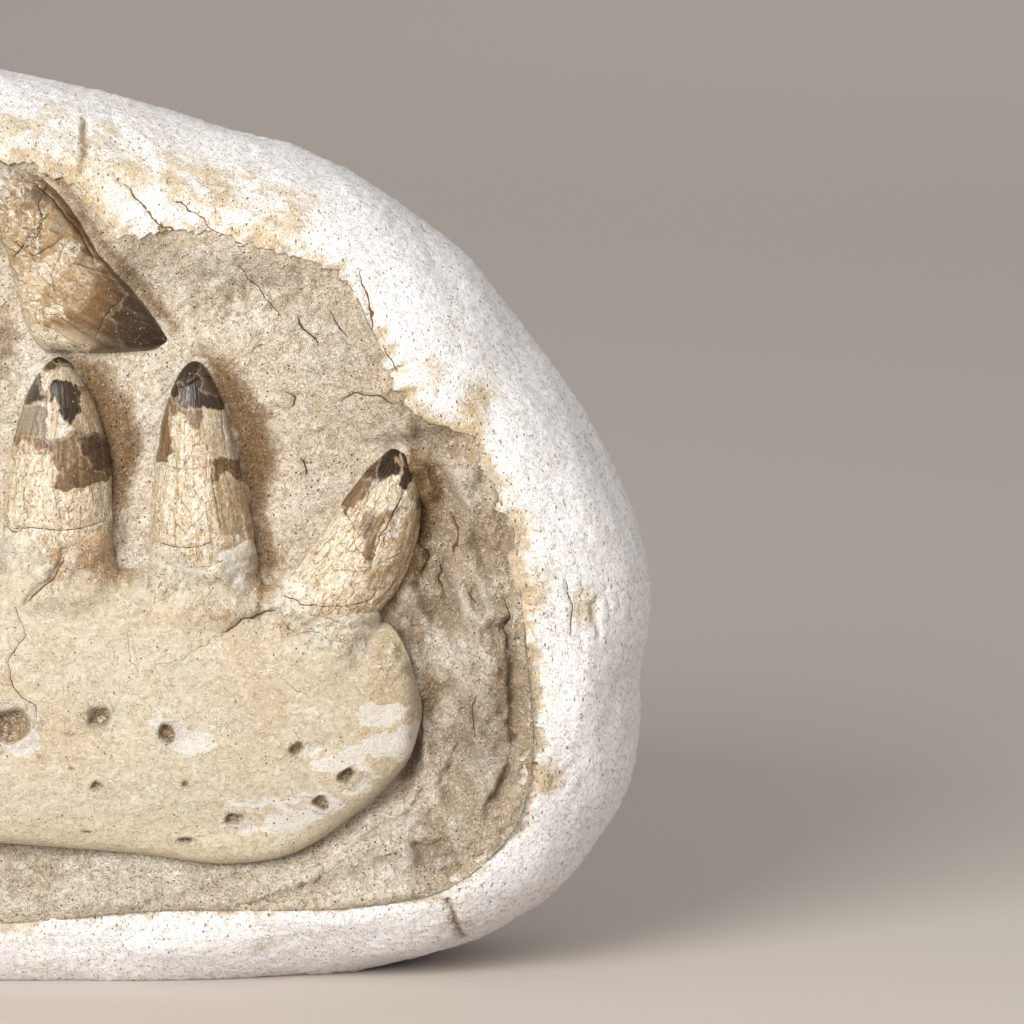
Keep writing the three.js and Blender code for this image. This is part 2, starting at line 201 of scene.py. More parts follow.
# Open breaks and hair cracks: depth, half width, and the route as x, z points
BONE_CRACKS = [
    (0.9, 0.6, [(23.8, 98.2), (26, 101.4), (29.4, 105), (33.6, 111.6)]),
    (0.6, 0.3, [(24.2, 98), (26.6, 101.2), (29.8, 104.6), (33.8, 110.8)]),
    (1.2, 0.45, [(72.6, 90.1), (77.4, 93.4), (81, 94.8), (86, 95.8)]),
    (0.5, 0.2, [(20.2, 98.4), (21.2, 95.4), (24, 90.5), (21.2, 87.6), (19.2, 84), (20.2, 77.7),
                (22.3, 75.2), (25.8, 72.7), (25.8, 69.2)]),
    (0.4, 0.16, [(20.2, 77.7), (16, 79), (9, 77), (2, 81)]),
    (0.3, 0.12, [(72.6, 90.1), (65.4, 86.2), (55.9, 82.3), (53.5, 78.4)]),
    (0.25, 0.1, [(49.3, 92.6), (49.6, 84.1), (51.4, 79.9)]), (0.25, 0.1, [(85.8, 80.5), (94.2, 74.5)]),
    (0.3, 0.14, [(86.1, 94.4), (91.7, 90.8), (98, 90.4), (104, 88)]),
    (0.6, 0.24, [(87.3, 99.8), (92, 98.3), (97, 97.5), (103.3, 97.5), (110, 98.5)]),
    (0.6, 0.24, [(54.5, 113.4), (62, 112.4), (67, 112.9), (71, 114.4)]),
    (0.6, 0.24, [(17, 116.5), (25, 117.6), (32.8, 117), (38, 117.4), (44, 118.8)]),
    (0.4, 0.18, [(-31, 99), (-28, 90), (-33, 82), (-30, 72), (-36, 61)]),
    (0.4, 0.18, [(-68, 100), (-64, 88), (-70, 79), (-66, 70)]),
    (0.5, 0.2, [(-101, 99), (-104, 84), (-99, 70), (-103, 52)]),
]
WIDE_GROOVE = 0.55  # a crack of a larger half width is left to the relief and has no drawn line
# Brown stains in breaks and below holes: x, z, half width, half height, strength
BONE_BROWNS = [
    (42.5, 110.5, 8.5, 7, 1.25), (46, 106, 6, 4, 0.8), (31, 108, 2.4, 5, 0.9), (83, 105, 4, 8, 1.3),
    (73, 95, 5, 2.2, 0.8), (86, 92, 5, 2, 0.5), (91, 92, 4, 1.6, 0.5), (19, 64, 5, 2.4, 0.6),
    (-24, 105, 5, 6, 1), (-58, 105, 5, 6, 1), (-93, 106, 4, 5, 1), (12, 106, 3, 5, 0.9),
]
# Chalky scrapes and powder, as outlines in the front view
BONE_CHALK = [
    [(105.3, 70.6), (109.2, 72.9), (113.4, 71.9), (117.2, 72.7), (119, 71.3), (118.3, 69.9), (113.7, 67.1),
     (109.9, 67.4), (106.7, 68.7)],
    [(113.4, 64.6), (119, 67.1), (122.5, 66.9), (121.8, 63.5), (120.6, 59.6), (117.2, 58.2), (112.3, 59.6),
     (109.2, 60.7), (111.3, 62.8)],
    [(96.6, 63), (101.1, 61.3), (105.7, 62.8), (109.2, 64.6), (113.7, 66), (112.3, 62.8), (109.2, 60.7),
     (105.7, 57.2), (102.5, 56.1), (99.4, 55.4), (94.8, 56.6), (94.5, 57.9), (99.4, 59.3), (101.1, 60.5)],
    [(106.7, 57.4), (110, 56.4), (113.4, 53.6), (109, 55)],
    [(102.2, 51.5), (106, 52.2), (107.4, 53.6), (109.2, 51.8), (107.8, 49.4), (102.9, 50.1)],
    [(72, 46.9), (78.3, 48.2), (82.2, 49.3), (87.4, 48.5), (91.6, 50.4), (93.4, 50.9), (90, 48), (86.5, 47.2),
     (81, 47.2), (76, 46.4), (70, 45.6)],
    [(83.9, 44.4), (88, 45.8), (91.6, 45.7), (95.2, 45.1), (98, 44), (93.7, 42.6), (89.5, 39.8), (85.3, 36.6),
     (87.4, 39.8), (84.3, 39.1), (81.8, 40.9)],
    [(94.5, 48.4), (97.5, 50.4), (100.5, 50), (102.5, 47), (100.5, 44.6), (97, 44.6), (94.5, 46)],
    [(76.4, 43.2), (78, 43.2), (80.6, 42.2), (81.7, 40.6), (80, 39.4), (77, 40.2), (75.8, 41.8)],
    [(93.4, 62.4), (95.4, 62.6), (97, 60.8), (94.6, 58.8), (92.6, 60.2)],
    [(20, 64.4), (23.5, 66.2), (26.4, 67.6), (26.8, 62), (25, 60.4), (21.5, 60), (17, 62.2)],
    [(54.5, 68.4), (57.2, 70), (61, 68.4), (64, 66.6), (68.5, 66.2), (70.8, 62.6), (66.5, 60.2), (62.5, 60.4),
     (58.4, 61.2), (57, 64)],
    [(71.8, 114), (74.4, 114), (75, 109), (77.4, 105), (78.6, 100.5), (76, 103), (73, 108)],
]
# The mesh: rings along the jaw, closer where x is above FINE_FROM, and columns round each ring
FINE_FROM = 8
END_RINGS, PLAIN_RINGS, FINE_RINGS = 12, 176, 268
FRONT_COLUMNS, BACK_COLUMNS = 164, 44


def smooth(low, high, value):
    """0 below low, 1 above high, and the ease 3t^2 - 2t^3 between them."""
    t = np.clip((value - low) / (high - low), 0, 1)
    return t * t * (3 - 2 * t)


def noise(x, y, z, size, seed, octaves=1):
    """Soft random heights from about -1 to 1: random values at the corners of a lattice whose
    cells have that size, eased between corners by 6t^5 - 15t^4 + 10t^3. Each further octave is
    half as large and half as strong."""
    total = 0
    for octave in range(octaves):
        cell = np.stack(np.broadcast_arrays(x, y, z), -1) / size * 2**octave + 37.3 * octave
        corner = np.floor(cell).astype(np.int64)
        t = cell - corner
        t = t**3 * (t * (6 * t - 15) + 10)
        value = 0
        for step in np.ndindex(2, 2, 2):
            at = corner + step
            mixed = at[..., 0] * 374761393 + at[..., 1] * 668265263 + at[..., 2] * 1440662683
            mixed = (mixed + (seed + octave) * 362437) & 0xFFFFFFFF
            mixed = ((mixed ^ (mixed >> 13)) * 1274126177) & 0xFFFFFFFF
            share = np.prod(np.where(step, t, 1 - t), -1)
            value = value + share * (((mixed ^ (mixed >> 16)) & 0xFFFF) / 32767.5 - 1)
        total = total + value / 2**octave
    return total


def spline(x, table):
    """The columns of a table as smooth curves over its first column: a cubic between each two
    rows, whose slope at a row comes from the rows on both sides."""
    at, values = table[:, 0], table[:, 1:]
    slopes = np.gradient(values, at, axis=0)
    i = np.clip(np.searchsorted(at, x) - 1, 0, len(at) - 2)
    span = (at[i + 1] - at[i])[..., None]
    t = ((x - at[i]) / span[..., 0])[..., None]
    ease = t * t * (3 - 2 * t)
    bend = t * (1 - t) * span * ((1 - t) * slopes[i] - t * slopes[i + 1])
    return np.moveaxis(values[i] * (1 - ease) + values[i + 1] * ease + bend, -1, 0)


def path_distance(x, z, path):
    """The distance in the front view from each point to a line of straight stretches."""
    nearest = np.full(np.shape(x), np.inf)
    for (ax, az), (bx, bz) in zip(path, path[1:]):
        dx, dz = bx - ax, bz - az
        t = np.clip(((x - ax) * dx + (z - az) * dz) / (dx * dx + dz * dz), 0, 1)
        nearest = np.minimum(nearest, np.hypot(x - ax - t * dx, z - az - t * dz))
    return nearest


def inside(x, z, outline):
    """How far each point is in from the edge of a many-sided outline, negative outside it: the
    distance to the outline, signed by whether a line to the right crosses it an odd number of
    times."""
    odd = np.zeros(np.shape(x), bool)
    for (ax, az), (bx, bz) in zip(outline, outline[1:] + outline[:1]):
        if az != bz:
            odd ^= ((az > z) != (bz > z)) & (x < (bx - ax) * (z - az) / (bz - az) + ax)
    return path_distance(x, z, outline + outline[:1]) * np.where(odd, 1, -1)


def blob(x, z, place):
    """1 at the middle of an oval (x, z, half width, half height) and 0 far away: the bell curve
    of the distance from its middle in half widths and half heights."""
    px, pz, half_x, half_z = place
    return np.exp(-(((x - px) / half_x) ** 2) - ((z - pz) / half_z) ** 2)


def blobs(x, z, places):
    """The sum of soft ovals, each as strong as the fifth number of its place says."""
    return sum(place[4] * blob(x, z, place[:4]) for place in places)


def grooves(x, z, cuts, bevel, core=0.3):
    """The depth of each cut, and a line from 0 to 1 along it, which is whole within that share
    of its half width and runs out a bevel past its edge."""
    return [(depth, smooth(half_width + bevel, core * half_width, path_distance(x, z, route)))
            for depth, half_width, route in cuts]


def crack_lines(x, z, cracks, where):
    """Cracks as two marks that the material draws finer than the mesh: the distance from the
    nearest crack in half widths of its line, positive on one side and negative on the other, and
    a strength along it, which is less for a shallow crack, tapers at its ends and is 0 where the
    mask is. A line is 0.6 of its crack's width, and from 0.16 to 0.34 mm wide."""
    nearest = np.full(np.shape(x), np.inf)
    offset, shown = np.full(np.shape(x), 30.0), np.zeros(np.shape(x))
    for depth, half_width, route in cracks:
        if half_width > WIDE_GROOVE:
            continue
        line_width = np.clip(0.6 * half_width, 0.08, 0.17)
        steps = np.diff(np.array(route, float), axis=0)
        lengths = np.hypot(*steps.T)
        before = np.concatenate([[0], np.cumsum(lengths)])
        for (ax, az), (dx, dz), length, start in zip(route, steps, lengths, before):
            t = np.clip(((x - ax) * dx + (z - az) * dz) / length**2, 0, 1)
            far = np.hypot(x - ax - t * dx, z - az - t * dz)
            side = np.where((x - ax) * dz > (z - az) * dx, 1, -1)
            run = start + t * length
            taper = smooth(-0.5, 2.5, run) * smooth(-0.5, 2.5, before[-1] - run)
            taper = taper * (0.45 + 0.55 * smooth(0.2, 0.8, depth))
            closer = far < nearest
            nearest = np.where(closer, far, nearest)
            offset = np.where(closer, side * np.minimum(far / line_width, 30), offset)
            shown = np.where(closer, taper, shown)
    return {"crack_offset": offset, "crack_shown": shown * smooth(2.5, 1.5, nearest) * where}


def paint(base, layers):
    """A linear colour at every point: the base colour, with each layer's hex colour mixed over
    it by the layer's mask from 0 to 1."""
    colour = base if isinstance(base, np.ndarray) else np.array(linear(base))
    colour = np.broadcast_to(colour, np.shape(layers[0][0]) + (4,))
    for mask, hex_code in layers:
        mask = np.clip(mask, 0, 1)[..., None]
        colour = colour * (1 - mask) + np.array(linear(hex_code)) * mask
    return colour


def make_piece(name, vertices, quads, fans, marks, material, node):
    """A closed piece in place of a CAD node, from vertices in millimetres and its faces with four
    and with three corners. Marks give a number or a colour at every vertex. If the faces point
    in, so that the sum of their cones from the middle is negative, all of them are turned."""
    vertices = vertices * MM
    p = vertices[quads]
    if np.sum(np.cross(p[:, 2] - p[:, 0], p[:, 3] - p[:, 1]) * (p.mean(1) - vertices.mean(0))) < 0:
        quads, fans = quads[:, ::-1], fans[:, ::-1]
    corners = np.concatenate([quads.ravel(), fans.ravel()]).astype(np.int32)
    starts = np.concatenate([np.arange(len(quads)) * 4, len(quads) * 4 + np.arange(len(fans)) * 3])
    mesh = bpy.data.meshes.new(name)
    mesh.vertices.add(len(vertices))
    mesh.vertices.foreach_set("co", vertices.astype(np.float32).ravel())
    mesh.loops.add(len(corners))
    mesh.loops.foreach_set("vertex_index", corners)
    mesh.polygons.add(len(starts))
    mesh.polygons.foreach_set("loop_start", starts.astype(np.int32))
    mesh.polygons.foreach_set("use_smooth", np.ones(len(starts), bool))
    mesh.update(calc_edges=True)
    for mark, values in marks.items():
        kind, field = ("FLOAT_COLOR", "color") if values.shape[-1] == 4 else ("FLOAT", "value")
        attribute = mesh.attributes.new(mark, kind, "POINT")
        attribute.data.foreach_set(field, values.astype(np.float32).ravel())
    mesh.materials.append(material)
    obj = bpy.data.objects.new(name, mesh)
    bpy.context.scene.collection.objects.link(obj)
    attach(obj, "root")
    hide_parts(node)


def make_rings(name, rows, marks, material, node):
    """A closed piece from rings of vertices: four-sided faces join the rings, and a fan of
    triangles closes each end on the middle of its last ring."""
    count, columns = rows.shape[:2]

    def with_ends(values):
        flat = values.reshape(count * columns, -1)
        return np.concatenate([flat, flat[:columns].mean(0)[None], flat[-columns:].mean(0)[None]])

    i, j = np.meshgrid(np.arange(count - 1), np.arange(columns), indexing="ij")
    k = (j + 1) % columns
    quads = np.stack([i * columns + j, (i + 1) * columns + j, (i + 1) * columns + k, i * columns + k], -1)
    ring, after = np.arange(columns), (np.arange(columns) + 1) % columns
    start, last = count * columns, (count - 1) * columns
    fans = np.concatenate([np.stack([np.full(columns, start), ring, after], -1),
                           np.stack([np.full(columns, start + 1), last + after, last + ring], -1)])
    marks = {mark: with_ends(values) for mark, values in marks.items()}
    make_piece(name, with_ends(rows), quads.reshape(-1, 4), fans, marks, material, node)


def flat_section(front_columns, back_columns):
    """The way round a flat section, up its front and down its back: the height from -1 to 1, as
    1.5s - 0.5s^3 of even steps s, which crowds the columns at its edges, and 1 for the front."""
    s = np.concatenate([np.linspace(-1, 1, front_columns), np.linspace(1, -1, back_columns)[1:-1]])
    return 1.5 * s - 0.5 * s**3, np.repeat([1.0, 0.0], [front_columns, back_columns - 2])


def tooth_place(x, z, tooth):
    """Where a point is on a tooth's own axis: across it to the right and up it from the base."""
    (bx, bz), (tx, tz), _, _ = tooth
    length = math.hypot(tx - bx, tz - bz)
    ux, uz = (tx - bx) / length, (tz - bz) / length
    return (x - bx) * uz - (z - bz) * ux, (x - bx) * ux + (z - bz) * uz


def weld(depth, swell, bead):
    """The larger of two depths, with a bead where they meet: that height times the bell curve
    of the difference between them."""
    return np.maximum(depth, swell) + bead * np.exp(-((depth - swell) ** 2) / 3) * (swell > 0.5)


def bone_depth(x, z):
    """Half the bone's thickness at a place in the front view: the superellipse of the jaw's
    section, welded to a round column under every tooth and to the webs between them, which are
    superellipses in both directions."""
    low, high, half_depth = spline(x, JAW_SECTIONS)
    power = 2 / JAW_SQUARENESS
    up = np.clip(np.abs(z - (low + high) / 2) / ((high - low) / 2), 0, 1)
    depth = half_depth * (1 - up**power) ** (1 / power)
    for tooth in TEETH:
        across, along = tooth_place(x, z, tooth)
        side = np.clip(np.abs(across) / (tooth[2] * SOCKET_WIDTH), 0, 1)
        top = np.clip((along + SOCKET_SHOULDER) / (SOCKET_RISE + SOCKET_SHOULDER), 0, 1)
        section = ((1 - side**SOCKET_POWER) * (1 - top**SOCKET_POWER)) ** (1 / SOCKET_POWER)
        depth = weld(depth, SOCKET_FRONT * tooth[2] * section * smooth(*SOCKET_ROOT, along), 0.9)
    for middle_x, top_z, half_x, half_depth in WEBS:
        side = np.clip(np.abs(x - middle_x) / half_x, 0, 1)
        top = np.clip((z - top_z) / WEB_SHOULDER + 1, 0, 1)
        section = ((1 - side**2) * (1 - top**WEB_POWER)) ** (1 / WEB_POWER)
        depth = weld(depth, half_depth * section * smooth(*WEB_ROOT, z - top_z), 0.8)
    return depth


def bone_top(x):
    """The bone's upper edge: that of the jaw's section, or of the sockets and webs where they are
    higher. A socket's edge is square to its tooth and drops at its corners by the 12th power of
    the way across, and a web's is a parabola."""
    top = spline(x, JAW_SECTIONS)[1]
    for (bx, bz), (tx, tz), radius, _ in TEETH:
        slope = (tx - bx) / (tz - bz)
        side = np.abs(x - bx) / (radius * SOCKET_WIDTH)
        socket = bz + SOCKET_RISE - slope * (x - bx) - SOCKET_CORNER * side**12
        top = np.maximum(top, np.where(side < 1, socket, top))
    for middle_x, top_z, half_x, _ in WEBS:
        top = np.maximum(top, top_z - WEB_CORNER * ((x - middle_x) / half_x) ** 2)
    return top


first_x, last_x = JAW_SECTIONS[0, 0], JAW_SECTIONS[-1, 0]
end_steps = END_ROUNDING * (1 - np.cos(np.linspace(0.06, math.pi / 2, END_RINGS)))
jaw_x = np.concatenate([
    first_x + end_steps, np.linspace(first_x + END_ROUNDING, FINE_FROM, PLAIN_RINGS)[1:],
    np.linspace(FINE_FROM, last_x - END_ROUNDING, FINE_RINGS)[1:], last_x - end_steps[-2::-1],
])
from_end = np.minimum(jaw_x - first_x, last_x - jaw_x)
end_scale = np.sqrt(1 - (1 - np.clip(from_end / END_ROUNDING, 0, 1)) ** 2)[:, None]
up, front = flat_section(FRONT_COLUMNS, BACK_COLUMNS)
low, high, _ = spline(jaw_x, JAW_SECTIONS)[..., None]
middle = (low + high) / 2
z = middle + up * np.where(up > 0, bone_top(jaw_x)[:, None] - middle, middle - low) * end_scale
x = np.broadcast_to(jaw_x[:, None], z.shape)
thick = bone_depth(x, z) * end_scale

# Relief, as a rise towards the front: swells, grain, broken patches, holes and cracks.
wander_x = x + 0.7 * noise(x, 0, z, 3, 41, 2)
wander_z = z + 0.7 * noise(x, 0, z, 3, 43, 2)
near_teeth = np.zeros_like(x)
for tooth in TEETH:
    across, along = tooth_place(x, z, tooth)
    near_tooth = smooth(1.25, 0.9, np.abs(across) / tooth[2]) * smooth(-17, -6, along)
    near_teeth = np.maximum(near_teeth, near_tooth)
broken = smooth(0.1, 0.5, near_teeth * (0.75 + 0.7 * noise(x, 0, z, 7, 45, 2)))
broken = np.maximum.reduce([broken] + [blob(x, z, place) for place in BONE_BREAKS])
rubble = 0.7 * noise(x, 0, z, 5.5, 55, 2) + 0.5 * noise(x, 0, z, 2.4, 51, 3) + 0.25 * noise(x, 0, z, 1, 53)
relief = 0.45 * noise(x, 0, z, 14, 47, 2) + 0.1 * noise(x / 3, 0, z, 2.2, 49, 2) + broken * rubble
relief += blobs(x, z, BONE_SWELLS)
hollow = np.zeros_like(x)
for px, pz, half_x, half_z, hole_depth in NERVE_HOLES:
    away_from = np.hypot((wander_x - px) / half_x, (wander_z - pz) / half_z)
    relief -= hole_depth * smooth(1.1, 0.5, away_from)
    hollow = np.maximum(hollow, smooth(1.05, 0.6, away_from))
    broken = np.maximum(broken, smooth(1.9, 1.0, away_from) * min(1, half_x / 2))
crack = np.zeros_like(x)
for cut_depth, line in grooves(wander_x, wander_z, BONE_CRACKS, 0.4):
    relief -= cut_depth * line
    crack = np.maximum(crack, line * smooth(0.6, 2, cut_depth))
relief = relief * front * smooth(0, 2.5, thick)
y = JAW_AXIS_Y + np.where(front > 0, -1, 1) * thick - relief

# Colour: cream to tan bone, browner in breaks and where matrix still clings, with painted shade inside
# the nerve holes and along its thin edges, pale powder below the holes and chalky scrapes near the tip of the
# jaw.
brown = blobs(x, z, BONE_BROWNS)
chalk = np.maximum.reduce([inside(wander_x, wander_z, outline) for outline in BONE_CHALK]) - 5 * hollow
mood = 0.5 + 0.5 * noise(x, 0, z, 16, 61, 3)
speckle = 0.5 + 0.5 * noise(x, 0, z, 1.6, 63, 2)
marks = {
    "paint": paint("#B2A793", [
        (smooth(0.35, 0.8, mood) * 0.55, "#AB9979"),
        (smooth(60, 38, z) * 0.4, "#ABA089"),
        (near_teeth * (0.4 + 0.5 * smooth(0.3, 0.7, mood)), "#C5BDAD"),
        (smooth(46, 35, z) * front * 0.5, "#DCCFB3"),
        (blob(x, z, (114, 80, 7, 13)) * 0.9, "#9C8761"),
        (broken * smooth(0.35, 0.75, speckle) * 0.6, "#9D8B6D"),
        (broken * smooth(0.5, 0.2, speckle) * 0.5, "#C7C0B4"),
        (blob(x, z, (93, 102.5, 7, 5)) * 0.75, "#E6DED0"),
        (blob(x, z, (107, 97, 7, 4)) * 0.8, "#D2C8B6"),
        (smooth(0.3, 0.9, brown + 0.5 * (speckle - 0.5)) * 0.8, "#966C36"),
        # Painted shade where the bone thins towards its edges.
        (smooth(9, 2, thick) * 0.12, "#948363"),
        # Painted shade inside the nerve holes.
        (hollow * 0.85, "#7A5831"),
        (hollow * smooth(0.2, 0.8, speckle) * 0.7, "#4A331D"),
        (crack * 0.85, "#5A4024"),
    ]),
    "chalk": np.clip(chalk, -4, 4),
    "broken": broken,
    **crack_lines(wander_x, wander_z, BONE_CRACKS, 1),
}


def crack_mask(tree, raggedness):
    """Shader nodes that draw the crack marks as a line from 0 to 1: where its taper, made ragged
    by a noise, is more than 0.8 of the distance in half widths."""
    offset = add(tree, "Attribute", attribute_name="crack_offset").outputs["Fac"]
    shown = add(tree, "Attribute", attribute_name="crack_shown").outputs["Fac"]
    across = add(tree, "Math", {0: offset}, operation="ABSOLUTE").outputs[0]
    inner = add(tree, "Math", {0: across, 1: -0.8, 2: shown}, operation="MULTIPLY_ADD").outputs[0]
    inner = add(tree, "Math", {0: raggedness, 1: 0.9, 2: inner}, operation="MULTIPLY_ADD").outputs[0]
    line = add(tree, "MapRange", {"Value": inner, "From Min": 0.4, "From Max": 0.75}).outputs[0]
    there = add(tree, "MapRange", {"Value": shown, "From Min": 0.02, "From Max": 0.2}).outputs[0]
    return add(tree, "Math", {0: line, 1: there}, operation="MULTIPLY").outputs[0]


def curls(tree, coords, size, width, share):
    """Shader nodes for short curling strokes of relief, as two masks from 0 to that share: the
    ridges, where a swirling noise with waves of that many millimetres is within that width of its
    middle value, and the furrows beside them. A second noise breaks both into strokes."""
    swirl = add(tree, "TexNoise", {"Vector": coords, "Scale": 1 / (size * MM), "Detail": 1.5,
                                   "Distortion": 1.6}).outputs["Fac"]
    gaps = add(tree, "TexNoise", {"Vector": coords, "Scale": 1 / (0.9 * size * MM), "Detail": 2.0})
    here = add(tree, "MapRange", {"Value": gaps.outputs["Fac"], "From Min": 0.44, "From Max": 0.54,
                                  "To Max": share}).outputs[0]
    strokes = []
    for level in (0.5, 0.5 - 1.9 * width):
        off = add(tree, "Math", {0: swirl, 1: level}, operation="SUBTRACT").outputs[0]
        off = add(tree, "Math", {0: off}, operation="ABSOLUTE").outputs[0]
        band = add(tree, "MapRange", {"Value": off, "From Min": width, "From Max": 0.25 * width}).outputs[0]
        strokes.append(add(tree, "Math", {0: band, 1: here}, operation="MULTIPLY").outputs[0])
    return strokes


def dots(tree, coords, spacing, edge, odds, chosen):
    """Shader nodes for dots about that many millimetres apart, as a mask from 0 to 1. A dot's edge
    runs between two distances from the middle of its cell, in cells, and the dot is there where
    the odds and the cell's own random number together run from one chosen value to the other."""
    cells = add(tree, "TexVoronoi", {"Vector": coords, "Scale": 1 / (spacing * MM), "Randomness": 1.0})
    dice = add(tree, "SeparateColor", {"Color": cells.outputs["Color"]}).outputs["Red"]
    chance = add(tree, "Math", {0: dice, 1: odds}, operation="ADD").outputs[0]
    there = add(tree, "MapRange", {"Value": chance, "From Min": chosen[0], "From Max": chosen[1]}).outputs[0]
    return add(tree, "MapRange", {"Value": cells.outputs["Distance"], "From Min": edge[0],
                                  "From Max": edge[1], "To Max": there}).outputs[0]


def stack_heights(tree, height, patterns):
    """Shader nodes that add patterns to a height, each times its own rise."""
    for pattern, rise in patterns:
        height = add(tree, "Math", {0: pattern, 1: rise, 2: height}, operation="MULTIPLY_ADD").outputs[0]
    return height


def lay_tones(tree, colour, bands, masks):
    """Shader nodes that lay tones over a colour. A band's tone lies where its pattern runs from
    one value to another, up to a share of its full strength, and a mask's tone as its mask says."""
    layers = []
    for pattern, start, full, share, tone in bands:
        band = add(tree, "MapRange", {"Value": pattern, "From Min": start, "From Max": full, "To Max": share})
        layers.append((band.outputs[0], tone))
    for mask, tone in layers + masks:
        colour = add(tree, "Mix", {0: mask, 6: colour, 7: tone}, data_type="RGBA").outputs[2]
    return colour


# Fossil bone: dense and mineralised, dull like unglazed biscuit ware, with fine curling grain
# whose curls carry a painted highlight and a painted shade, clusters of dark pores, hair cracks,
# and chalky white where a tool scraped it.
BONE_GRAIN, BONE_FLECK, BONE_CLOUD, BONE_CURL, CHALK_SWEEP = 2.2, 0.7, 12, 1.7, 1.6  # its waves
PORE_SPACINGS, PORE_EDGE = (1.9, 0.95), (0.15, 0.08)
bone, tree = new_material("mineralised fossil bone")
coords = add(tree, "TexCoord").outputs["Object"]
painted = add(tree, "Attribute", attribute_name="paint").outputs["Color"]
rough = add(tree, "Attribute", attribute_name="broken").outputs["Fac"]
chalky = add(tree, "Attribute", attribute_name="chalk").outputs["Fac"]
along_jaw = add(tree, "Mapping", {"Vector": coords, "Rotation": (0, math.radians(14), 0),
                                  "Scale": (0.6, 1, 1)}).outputs[0]
grain = add(tree, "TexNoise", {"Vector": along_jaw, "Scale": 1 / (BONE_GRAIN * MM), "Detail": 5.0,
                               "Roughness": 0.68, "Distortion": 1.4}).outputs["Fac"]
fleck = add(tree, "TexNoise", {"Vector": coords, "Scale": 1 / (BONE_FLECK * MM), "Detail": 3.0,
                               "Roughness": 0.7, "Distortion": 0.6}).outputs["Fac"]
cloud = add(tree, "TexNoise", {"Vector": coords, "Scale": 1 / (BONE_CLOUD * MM), "Detail": 3.0})
odds = add(tree, "Math", {0: cloud.outputs["Fac"], 1: 1.6}, operation="MULTIPLY").outputs[0]
large_pore = dots(tree, coords, PORE_SPACINGS[0], PORE_EDGE, odds, (1.46, 1.52))
small_pore = dots(tree, coords, PORE_SPACINGS[1], PORE_EDGE, odds, (1.5, 1.56))
pore = add(tree, "Math", {0: small_pore, 1: large_pore}, operation="MAXIMUM").outputs[0]
swept = add(tree, "Mapping", {"Vector": coords, "Rotation": (0, math.radians(-28), 0),
                              "Scale": (0.35, 1, 1)}).outputs[0]
sweep = add(tree, "TexNoise", {"Vector": swept, "Scale": 1 / (CHALK_SWEEP * MM), "Detail": 3.0})
chalk_edge = add(tree, "Math", {0: sweep.outputs["Fac"], 1: 4.5, 2: chalky},
                 operation="MULTIPLY_ADD").outputs[0]
chalk = add(tree, "MapRange", {"Value": chalk_edge, "From Min": 2.05, "From Max": 2.4,
                               "To Max": 0.75}).outputs[0]
line = crack_mask(tree, fleck)
stroke_share = add(tree, "MapRange", {"Value": rough, "To Min": 0.45, "To Max": 0.9}).outputs[0]
ridge, furrow = curls(tree, coords, BONE_CURL, 0.05, stroke_share)
# The curls' ridges are painted pale as highlight and their furrows dark as shade.
colour = lay_tones(tree, painted, [
    (grain, 0.48, 0.32, 0.65, "#CAC2B3"),
    (grain, 0.5, 0.68, 0.6, "#9D8A69"),
    (fleck, 0.45, 0.3, 0.4, "#CFC7BE"),
    (fleck, 0.55, 0.72, 0.45, "#887453"),
], [(ridge, "#D3CCC0"), (furrow, "#8A7048"), (chalk, "#C5C0B8"), (pore, "#6B5130"), (line, "#5E4426")])
fleck_height = add(tree, "Math", {0: rough, 1: 1.4, 2: 0.5}, operation="MULTIPLY_ADD").outputs[0]
height = stack_heights(tree, grain, [
    (fleck, fleck_height), (ridge, 0.7), (furrow, -0.4), (pore, -0.8), (line, -0.9), (chalk, -0.25),
])
bump = add(tree, "Bump", {"Height": height, "Strength": 0.75, "Distance": 0.4 * MM}).outputs["Normal"]
dull = add(tree, "MapRange", {"Value": rough, "To Min": 0.55, "To Max": 0.85}).outputs[0]
surface = add(tree, "BsdfPrincipled", {"Base Color": colour, "Roughness": dull, "IOR": 1.5, "Normal": bump,
                                       "Specular IOR Level": 0.35})
add(tree, "OutputMaterial", {"Surface": surface.outputs["BSDF"]})

make_rings("jaw_bone_surface", np.stack([x, y, z], -1), marks, bone, "jaw_bone")

# ---------------------------------------------------------------------------------------------
# Teeth in the jaw: seven stout crowns with smooth dark enamel at the tip and cracked, flaking
# enamel over cream dentine towards the base. Each is rooted in its socket by natural cement.

TOOTH_AXIS_Y = -35.6
TOOTH_FLATNESS = 0.86
SOCKET_DEPTH = 5
BASE_SHARE = 0.86
CROWN_SHARE = 0.975
PATCH_EDGE = 0.18
WORN_BY = 0.5
# Finishes of the crowns: colour, gloss from 0 to 1, and how far they stand above the dentine
CROWN_FINISHES = {
    "black": ("#1D1108", 1.0, 0.3), "slate": ("#393029", 1.0, 0.3), "dark": ("#412F1B", 0.9, 0.25),
    "brown": ("#695136", 0.8, 0.2), "tan": ("#997F59", 0.5, 0.1), "grey": ("#7F7261", 0.8, 0.2),
    "beige": ("#A7977C", 0.5, 0.1), "cream": ("#CEC1A7", 0.15, -0.1), "white": ("#D3CCC1", 0.2, -0.1),
}
# How a crown tapers: its half width is (1 - t^a)^b of the base's at a share t of the height
CROWN_TAPERS = [(2.3, 0.64), (1.25, 0.5), (2.1, 0.6), (1.5, 0.65), (1.6, 0.66), (1.7, 0.64), (1.8, 0.68)]
# How far up the crown tan, brown and black begin, as shares of its height
CROWN_BANDS = [
    (0.45, 0.6, 0.8), (0.5, 0.72, 0.76), (0.34, 0.5, 0.86), (0.3, 0.5, 0.78), (0.4, 0.62, 0.8),
    (0.35, 0.55, 0.76), (0.38, 0.6, 0.82),
]
